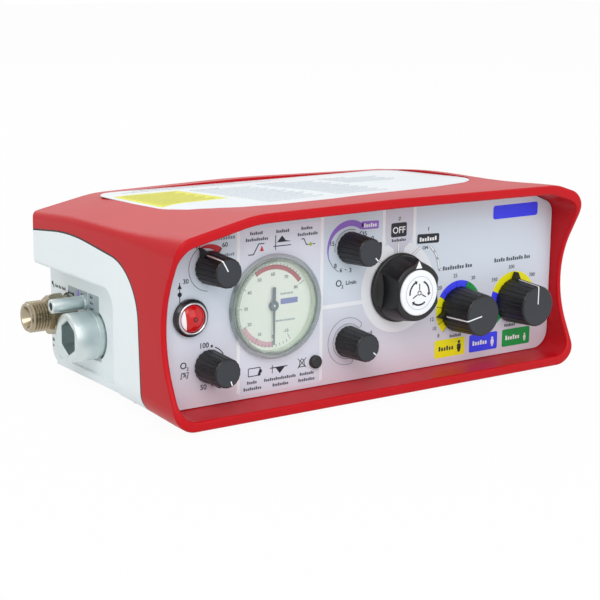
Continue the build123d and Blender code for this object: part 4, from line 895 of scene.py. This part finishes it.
# ---------------------------------------------------------------- knob marks
def knob_marks():
    """The matt faces and white lines of the knobs."""
    for name in CONTROLS:
        if name == "mode":
            continue
        low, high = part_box(name + "_knob")
        spindle = middle(name + "_spindle")
        large = name in ("rate", "volume")
        lined = name in ("alarm_pressure", "rate", "volume")
        face_radius = 9.5 if large else 6.2
        skirt_radius = 10.6 if large else 7.1
        turn = math.radians(POINTS[name])
        up = (math.sin(turn), 0, math.cos(turn))
        right = (math.cos(turn), 0, -math.sin(turn))
        face = surface((spindle.x, low.y, spindle.z), right, up)
        on_knob = dict(place=face, body=name + "_control", slot="knob")
        with printed(name + "_knob_face", "knob_face", thick=0.08, **on_knob) as art:
            disc(art, (0, 0), face_radius - 0.62, 48)
        with printed(name + "_face_line", "white", 3, **on_knob) as art:
            reach = 1.0 if lined else face_radius - 2.6
            bar(art, (0, reach), (0, face_radius - 0.55), 0.55 if large else 0.5)
        if lined:
            knob_side_line(name, face, face_radius, skirt_radius, (high.y - low.y) / MM)


def knob_side_line(name, face, face_radius, skirt_radius, length):
    """The white line that runs down a knob's side, over its edge, towards the pointer."""
    half = 0.3             # mm, half the line's width
    proud = 0.12           # mm, how far it stands off the knob
    down = length - 3.4    # mm, where it ends on the skirt
    taper = (skirt_radius - face_radius) / length
    route = [
        (face_radius - 0.55, 0.02 - 0.5),
        (face_radius - 0.5, proud),
        (face_radius + 0.06, -0.5 + proud),
        (face_radius + taper * down + proud, -down),
        (face_radius + taper * down - 0.3, -down),
        (face_radius - 0.3, -0.9),
    ]
    art = bmesh.new()
    side = art.faces.new([art.verts.new((-half, y, z)) for y, z in route])
    pushed = bmesh.ops.extrude_face_region(art, geom=[side], use_keep_orig=True)
    moved = [item for item in pushed["geom"] if isinstance(item, bmesh.types.BMVert)]
    bmesh.ops.translate(art, verts=moved, vec=(2 * half, 0, 0))
    bmesh.ops.recalc_face_normals(art, faces=art.faces)
    art.transform(face)
    piece(name + "_side_line", art, "white", name + "_control")


def mode_marks():
    """The mode knob with its finger grips, its white pointer mark, and the print on its cap."""
    low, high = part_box("mode_knob")
    cap = facing_front("mode_spindle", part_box("mode_knob_cap")[0].y)
    on_cap = dict(place=cap, body="mode_control", slot="knob_cap")
    origin = (0, 0)
    with printed("mode_cap_print", "dark", 1, **on_cap) as art:
        # three arrows that chase each other, and three spokes
        for angle in (0, 120, 240):
            band(art, origin, 4.95, 5.75, angle + 24, angle + 94)
            tip = ((6.4, 94), (4.3, 94), (5.4, 108))
            shape(art, [polar(origin, radius, angle + on) for radius, on in tip])
            tick(art, origin, 1.4, 4.2, angle, 0.5)
        band(art, origin, 0.7, 1.1, 0, 360)
    with printed("mode_cap_ring", "note", 1, **on_cap) as art:
        band(art, origin, 7.35, 7.55, 0, 360)
    side = [(14.9 - 0.17 * rise, 1.9 + rise) for rise in (0, 0.5, 1.1, 2, 4, 6, 8, 10, 11.3)]
    knob = turned("mode_grip", [
        (0.0, 11.2), (3.0, 11.2), (3.0, 3.5), (5.8, 3.5), (5.8, 0.0), (15.4, 0.0), (15.7, 0.3),
        (15.7, 1.2), (15.55, 1.55), (15.2, 1.75), *side, (12.8, 13.7), (12.55, 14.05),
        (12.2, 14.2), (10.4, 14.2), (10.3, 14.1), (10.3, 13.5), (0.0, 13.4),
    ], facing_front("mode_spindle", high.y), "knob", "mode_control", sharp=32,
        shaped=finger_grip, steps=192)
    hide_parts("mode_knob")
    front = facing_front("mode_spindle", low.y)
    with printed("mode_pointer_mark", "white", place=front, body="mode_control", slot="knob",
                 thick=0.1) as art:
        shape(art, [(-1.7, 10.9), (1.7, 10.9), (0, 14.3)])


# ---------------------------------------------------------------- labels
def cut_up(art):
    """Cuts a drawing into 4 mm cells, so that it can follow a curved surface."""
    for side in ((1, 0, 0), (0, 1, 0)):
        for place in range(-88, 89, 4):
            spot = [place * share for share in side]
            everything = art.verts[:] + art.edges[:] + art.faces[:]
            bmesh.ops.bisect_plane(art, geom=everything, plane_co=spot, plane_no=side)


def top_label():
    """The top label follows the cover's crown in front and sinks into its pocket behind."""
    low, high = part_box("top_label")
    centre = Vector(((low.x + high.x) / 2, (low.y + high.y) / 2, low.z))
    flat = surface(centre, (1, 0, 0), (0, 1, 0))
    half_x, half_y = (high.x - low.x) / 2 / MM, (high.y - low.y) / 2 / MM
    skin = NODES["top_cover"].data
    cover = BVHTree.FromPolygons([vert.co for vert in skin.vertices],
                                 [face.vertices for face in skin.polygons])
    pocket_front = low.y - 1.0 * MM
    rear_top = 0.4         # mm, thickness of the label in its pocket
    thick = 0.25           # mm, thickness of its film
    round_off = 13.0       # mm, radius of its rear corners

    def crown(x, depth):
        """Height of the cover over the label's lowest point."""
        spot = Vector((centre.x + x * MM, depth, 1.0))
        return (cover.ray_cast(spot, Vector((0, 0, -1)))[0].z - low.z) / MM + 0.1

    def lie(x, y):
        """Height of the label's face."""
        depth = centre.y + y * MM
        if depth <= pocket_front:
            return crown(x, depth)
        share = (depth - pocket_front) / (high.y - pocket_front)
        return crown(x, pocket_front) * (1 - share) + rear_top * share

    corners = ((round_off - half_x, -90), (half_x - round_off, 0))
    outline = [polar((x, half_y - round_off), round_off, turn + 15 * step)
               for x, turn in corners for step in range(7)]
    outline += [
        (half_x, -20.0), (85.2, -27.5), (82.0, -34.0), (77.0, -39.5), (70.0, -44.5),
        (46.0, -52.3), (23.0, -57.0), (0.0, -60.5), (-20.0, -62.2), (-46.0, -61.2),
        (-63.0, -56.5), (-73.5, -50.0), (-80.5, -42.0), (-84.5, -32.0), (-half_x, -20.0),
    ]
    art = bmesh.new()
    shape(art, outline)
    cut_up(art)
    sheet = film("label_sheet", art, flat, "label", slot="label", thick=thick,
                 rise=lambda x, y: lie(x, y) - thick)
    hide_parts("top_label")

    on_label = dict(place=flat, slot="label", rise=lie)
    columns = ((-46, -14, 22), (-9, 22, 22), (27, 60, 8))       # left, right and rows of text
    pitch = 2.9
    with printed("label_yellow_block", "soft_yellow", **on_label) as art:
        tile(art, (-67.0, -3.4), (33.5, 45.0), 0.8)
        cut_up(art)
    with printed("label_text_rules", "note", **on_label) as art:
        for left, right, rows in columns:
            for row in range(rows):
                ragged = (row * 7 % 5) * 1.3
                breaks = (0.22, 0.61) if row % 3 else (0.45, 0.8)
                note(art, left, right - ragged, 11.0 - row * pitch, 1.1, breaks)
    with printed("label_heading_rules", "grey", **on_label) as art:
        note(art, -66, -10, half_y - 3.4, 2.0, (0.3, 0.55, 0.8))
        note(art, -half_x + 12, 8, half_y - 8.6, 1.2, (0.2, 0.5, 0.7))
        for left, *_ in columns:
            note(art, left, left + 16, 14.6, 1.7)
    with printed("label_yellow_rules", "olive", 1, **on_label) as art:
        for row in range(14):
            breaks = (0.35,) if row % 2 else (0.7,)
            note(art, -81.5, -53.0 - row % 3 * 2, 15.4 - row * pitch, 1.3, breaks)


def connectors():
    """The breathing outlet with its hexagonal bore, and the small hose spigot above it."""
    port = turned("outlet_port", [
        (0.0, 1.0), (7.9, 1.0), (8.0, 1.3), (8.0, 12.9), (8.45, 13.6), (8.9, 14.0), (10.4, 14.0),
        (10.8, 13.8), (11.0, 13.4), (11.0, 2.9), (10.85, 2.75), (11.0, 2.6), (11.0, -4.3),
        (12.0, -4.4), (12.0, -6.5), (0.0, -6.5),
    ], facing_left("patient_outlet_port"), "port", sharp=28, shaped=hexagon_bore)
    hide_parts("patient_outlet_port")
    spigot = turned("hose_spigot", [
        (1.75, -6.5), (3.5, -6.5), (3.5, 1.3), (3.35, 1.6), (3.2, 1.7), (3.2, 16.6), (3.1, 16.9),
        (2.9, 17.0), (1.9, 17.0), (1.75, 16.8),
    ], facing_left("flow_outlet_spigot"), "port", sharp=28)
    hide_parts("flow_outlet_spigot")


def bay_print():
    """Pale films and bare marks beside the connectors, where their captions would stand."""
    on_bay = dict(place=facing_left("gas_inlet_fitting"), slot="label")
    with printed("bay_grey_films", "zone_bay", **on_bay) as art:
        tile(art, (9.0, 9.7), (19.6, 5.6), 0.7)
        tile(art, (24.4, 7.6), (10.4, 9.8), 0.9)
        tile(art, (27.0, -15.8), (8.0, 2.6), 0.4)
    with printed("bay_dark_marks", "dark", 1, **on_bay) as art:
        path(art, [(-17.4, 11.0), (-16.2, 10.2), (-15.4, 8.9)], 0.8)
        disc(art, (-17.0, 10.9), 0.8, 16)
        note(art, -14.0, -3.2, 10.1, 1.5, (0.3, 0.6))
        bar(art, (-0.6, 9.3), (4.6, 9.3), 0.7)
        bar(art, (-0.4, 8.3), (-0.4, 10.3), 0.7)
        disc(art, (4.4, 9.0), 0.85, 16)
        path(art, [(13.2, 11.2), (12.2, 9.6), (12.4, 8.2)], 0.8)
        for z, wide in ((11.0, 2.6), (8.3, 3.0), (5.7, 3.6)):
            note(art, 22.6 - wide / 2, 22.6 + wide / 2, z, 1.2)
        note(art, -18.2, -16.0, -16.4, 1.6)
        note(art, -17.8, -16.6, -19.3, 1.1)
    with printed("bay_lilac_mark", "lilac", 1, **on_bay) as art:
        tile(art, (9.4, 10.2), (2.2, 3.6), 0.3)
    with printed("bay_purple_mark", "purple", 2, **on_bay) as art:
        bar(art, (9.6, 8.8), (9.6, 11.8), 0.8)


# ---------------------------------------------------------------- indicator
def indicator_details():
    """The indicator's red dome with its centre ring and a painted white highlight on its left, and
    the rim round it.
    """
    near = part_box("indicator_ring")[0].y
    front = facing_front("indicator_ring", near)
    radius, rise, skirt = 5.75, 2.4, -1.4      # mm, of the dome
    ball = (radius ** 2 + rise ** 2) / (2 * rise)
    slope = [radius * step / 8 for step in range(1, 9)]
    dome = [(0.0, rise), *((out, rise - ball + math.sqrt(ball ** 2 - out ** 2)) for out in slope),
            (radius, skirt), (0.0, skirt)]
    made = turned("indicator_dome", dome, front, "indicator_dome", sharp=50)
    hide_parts("indicator_lens")
    turned("indicator_bright_rim", [
        (5.8, -0.6), (5.8, 0.1), (6.0, 0.45), (6.35, 0.55), (6.7, 0.4), (6.85, 0.05), (6.85, -0.6),
    ], front, "indicator_rim", sharp=60)
    tip = facing_front("indicator_ring", near - (rise - 0.06) * MM)
    with printed("indicator_centre_ring", "dark", place=tip, slot="lens", thick=0.1) as art:
        band(art, (0, 0), 0.55, 1.0, 0, 360)
    # a painted highlight: a thin white shell over the dome, cut off at its foot and along a
    # slanting line on its left
    side = bmesh.new()
    bmesh.ops.create_uvsphere(side, u_segments=64, v_segments=48, radius=ball + 0.03)
    bmesh.ops.translate(side, verts=side.verts, vec=(0, 0, rise - ball))
    for spot, away in (((0, 0, 0.25), (0, 0, -1)), ((-3.5, 0, 0), (1, 0.1, 0.25))):
        everything = side.verts[:] + side.edges[:] + side.faces[:]
        bmesh.ops.bisect_plane(side, geom=everything, dist=0.0001, plane_co=spot,
                               plane_no=away, clear_outer=True)
    bmesh.ops.solidify(side, geom=side.faces[:], thickness=0.15)
    bmesh.ops.recalc_face_normals(side, faces=side.faces)
    side.transform(front)
    piece("indicator_painted_highlight", side, "cap")


panel_zones()
alarm_print()
oxygen_print()
flow_print()
peep_print()
mode_print()
rate_print()
volume_print()
status_print()
gauge_print()
gauge_needle()
knob_marks()
mode_marks()
top_label()
bay_print()
connectors()
indicator_details()


# ---------------------------------------------------------------- room, light and camera
def seen(tree):
    """1 where the eye, a gloss or a clear part looks, and 0 for the light on the object."""
    rays = add(tree, "LightPath").outputs
    direct = add(tree, "Math", {0: rays["Is Camera Ray"], 1: rays["Is Glossy Ray"]},
                 operation="MAXIMUM")
    return add(tree, "Math", {0: direct, 1: rays["Is Transmission Ray"]}, operation="MAXIMUM")


@material
def pale_floor(tree, place):
    """Matt painted floor: nearly white to the eye, with the object's soft shadow on it."""
    cloud = add(tree, "TexNoise", {"Vector": place, "Scale": 1 / (300 * MM)})
    tone = add(tree, "MixRGB", {
        "Fac": cloud, "Color1": colour("eceded"), "Color2": colour("f0f1f1"),
    })
    lit = add(tree, "BsdfDiffuse", {"Color": tone})
    glow = add(tree, "Emission", {"Color": colour("ffffff"), "Strength": 1.0})
    share = add(tree, "Math", {0: seen(tree), 1: 0.96}, operation="MULTIPLY")
    return add(tree, "MixShader", {"Fac": share, 1: lit, 2: glow})


def floor():
    """A wide floor under the object."""
    bm = bmesh.new()
    bmesh.ops.create_grid(bm, x_segments=4, y_segments=4, size=6.0)
    mesh = bpy.data.meshes.new("floor")
    bm.to_mesh(mesh)
    bm.free()
    mesh.materials.append(pale_floor("pale_floor"))
    in_scene("floor", mesh)


def backdrop():
    """A world that lights softly and is white where it is seen."""
    world = bpy.data.worlds.new("studio")
    bpy.context.scene.world = world
    world.use_nodes = True
    tree = world.node_tree
    tree.nodes.clear()
    level = add(tree, "MapRange", {"Value": seen(tree), "To Min": 0.62, "To Max": 1.0})
    glow = add(tree, "Background", {"Color": colour("ffffff"), "Strength": level})
    add(tree, "OutputWorld", {"Surface": glow})


def softbox(name, place, aim, watts):
    """A square soft lamp, 1.2 m wide, that points at a height over the middle of the floor."""
    lamp = bpy.data.lights.new(name, "AREA")
    lamp.shape = "SQUARE"
    lamp.size = 1.2
    lamp.energy = watts
    holder = in_scene(name, lamp)
    holder.location = place
    way = Vector((0, 0, aim)) - Vector(place)
    holder.rotation_euler = way.to_track_quat("-Z", "Y").to_euler()


def camera():
    """A long lens from the front left, a little above the object."""
    azimuth = math.radians(34.75)
    elevation = math.radians(12.31)
    roll = math.radians(0.57)
    distance = 0.7
    target = Vector((-0.0099, -0.0161, 0.0378))
    forward = Vector((
        math.sin(azimuth) * math.cos(elevation),
        math.cos(azimuth) * math.cos(elevation),
        -math.sin(elevation),
    ))
    lens = bpy.data.cameras.new("camera")
    lens.lens = 92.15
    lens.sensor_width = 36.0
    lens.clip_start = 0.01
    holder = in_scene("camera", lens)
    turn = forward.to_track_quat("-Z", "Y").to_matrix() @ Matrix.Rotation(roll, 3, "Z")
    holder.matrix_world = Matrix.Translation(target - forward * distance) @ turn.to_4x4()
    bpy.context.scene.camera = holder


floor()
backdrop()
softbox("key_lamp", (-0.9, -1.1, 1.3), 0.04, 14)
softbox("fill_lamp", (0.2, -1.6, 0.7), 0.04, 6)
softbox("rear_lamp", (0.3, 1.4, 1.4), 0.05, 8)
camera()
bpy.context.scene.view_settings.view_transform = "Standard"
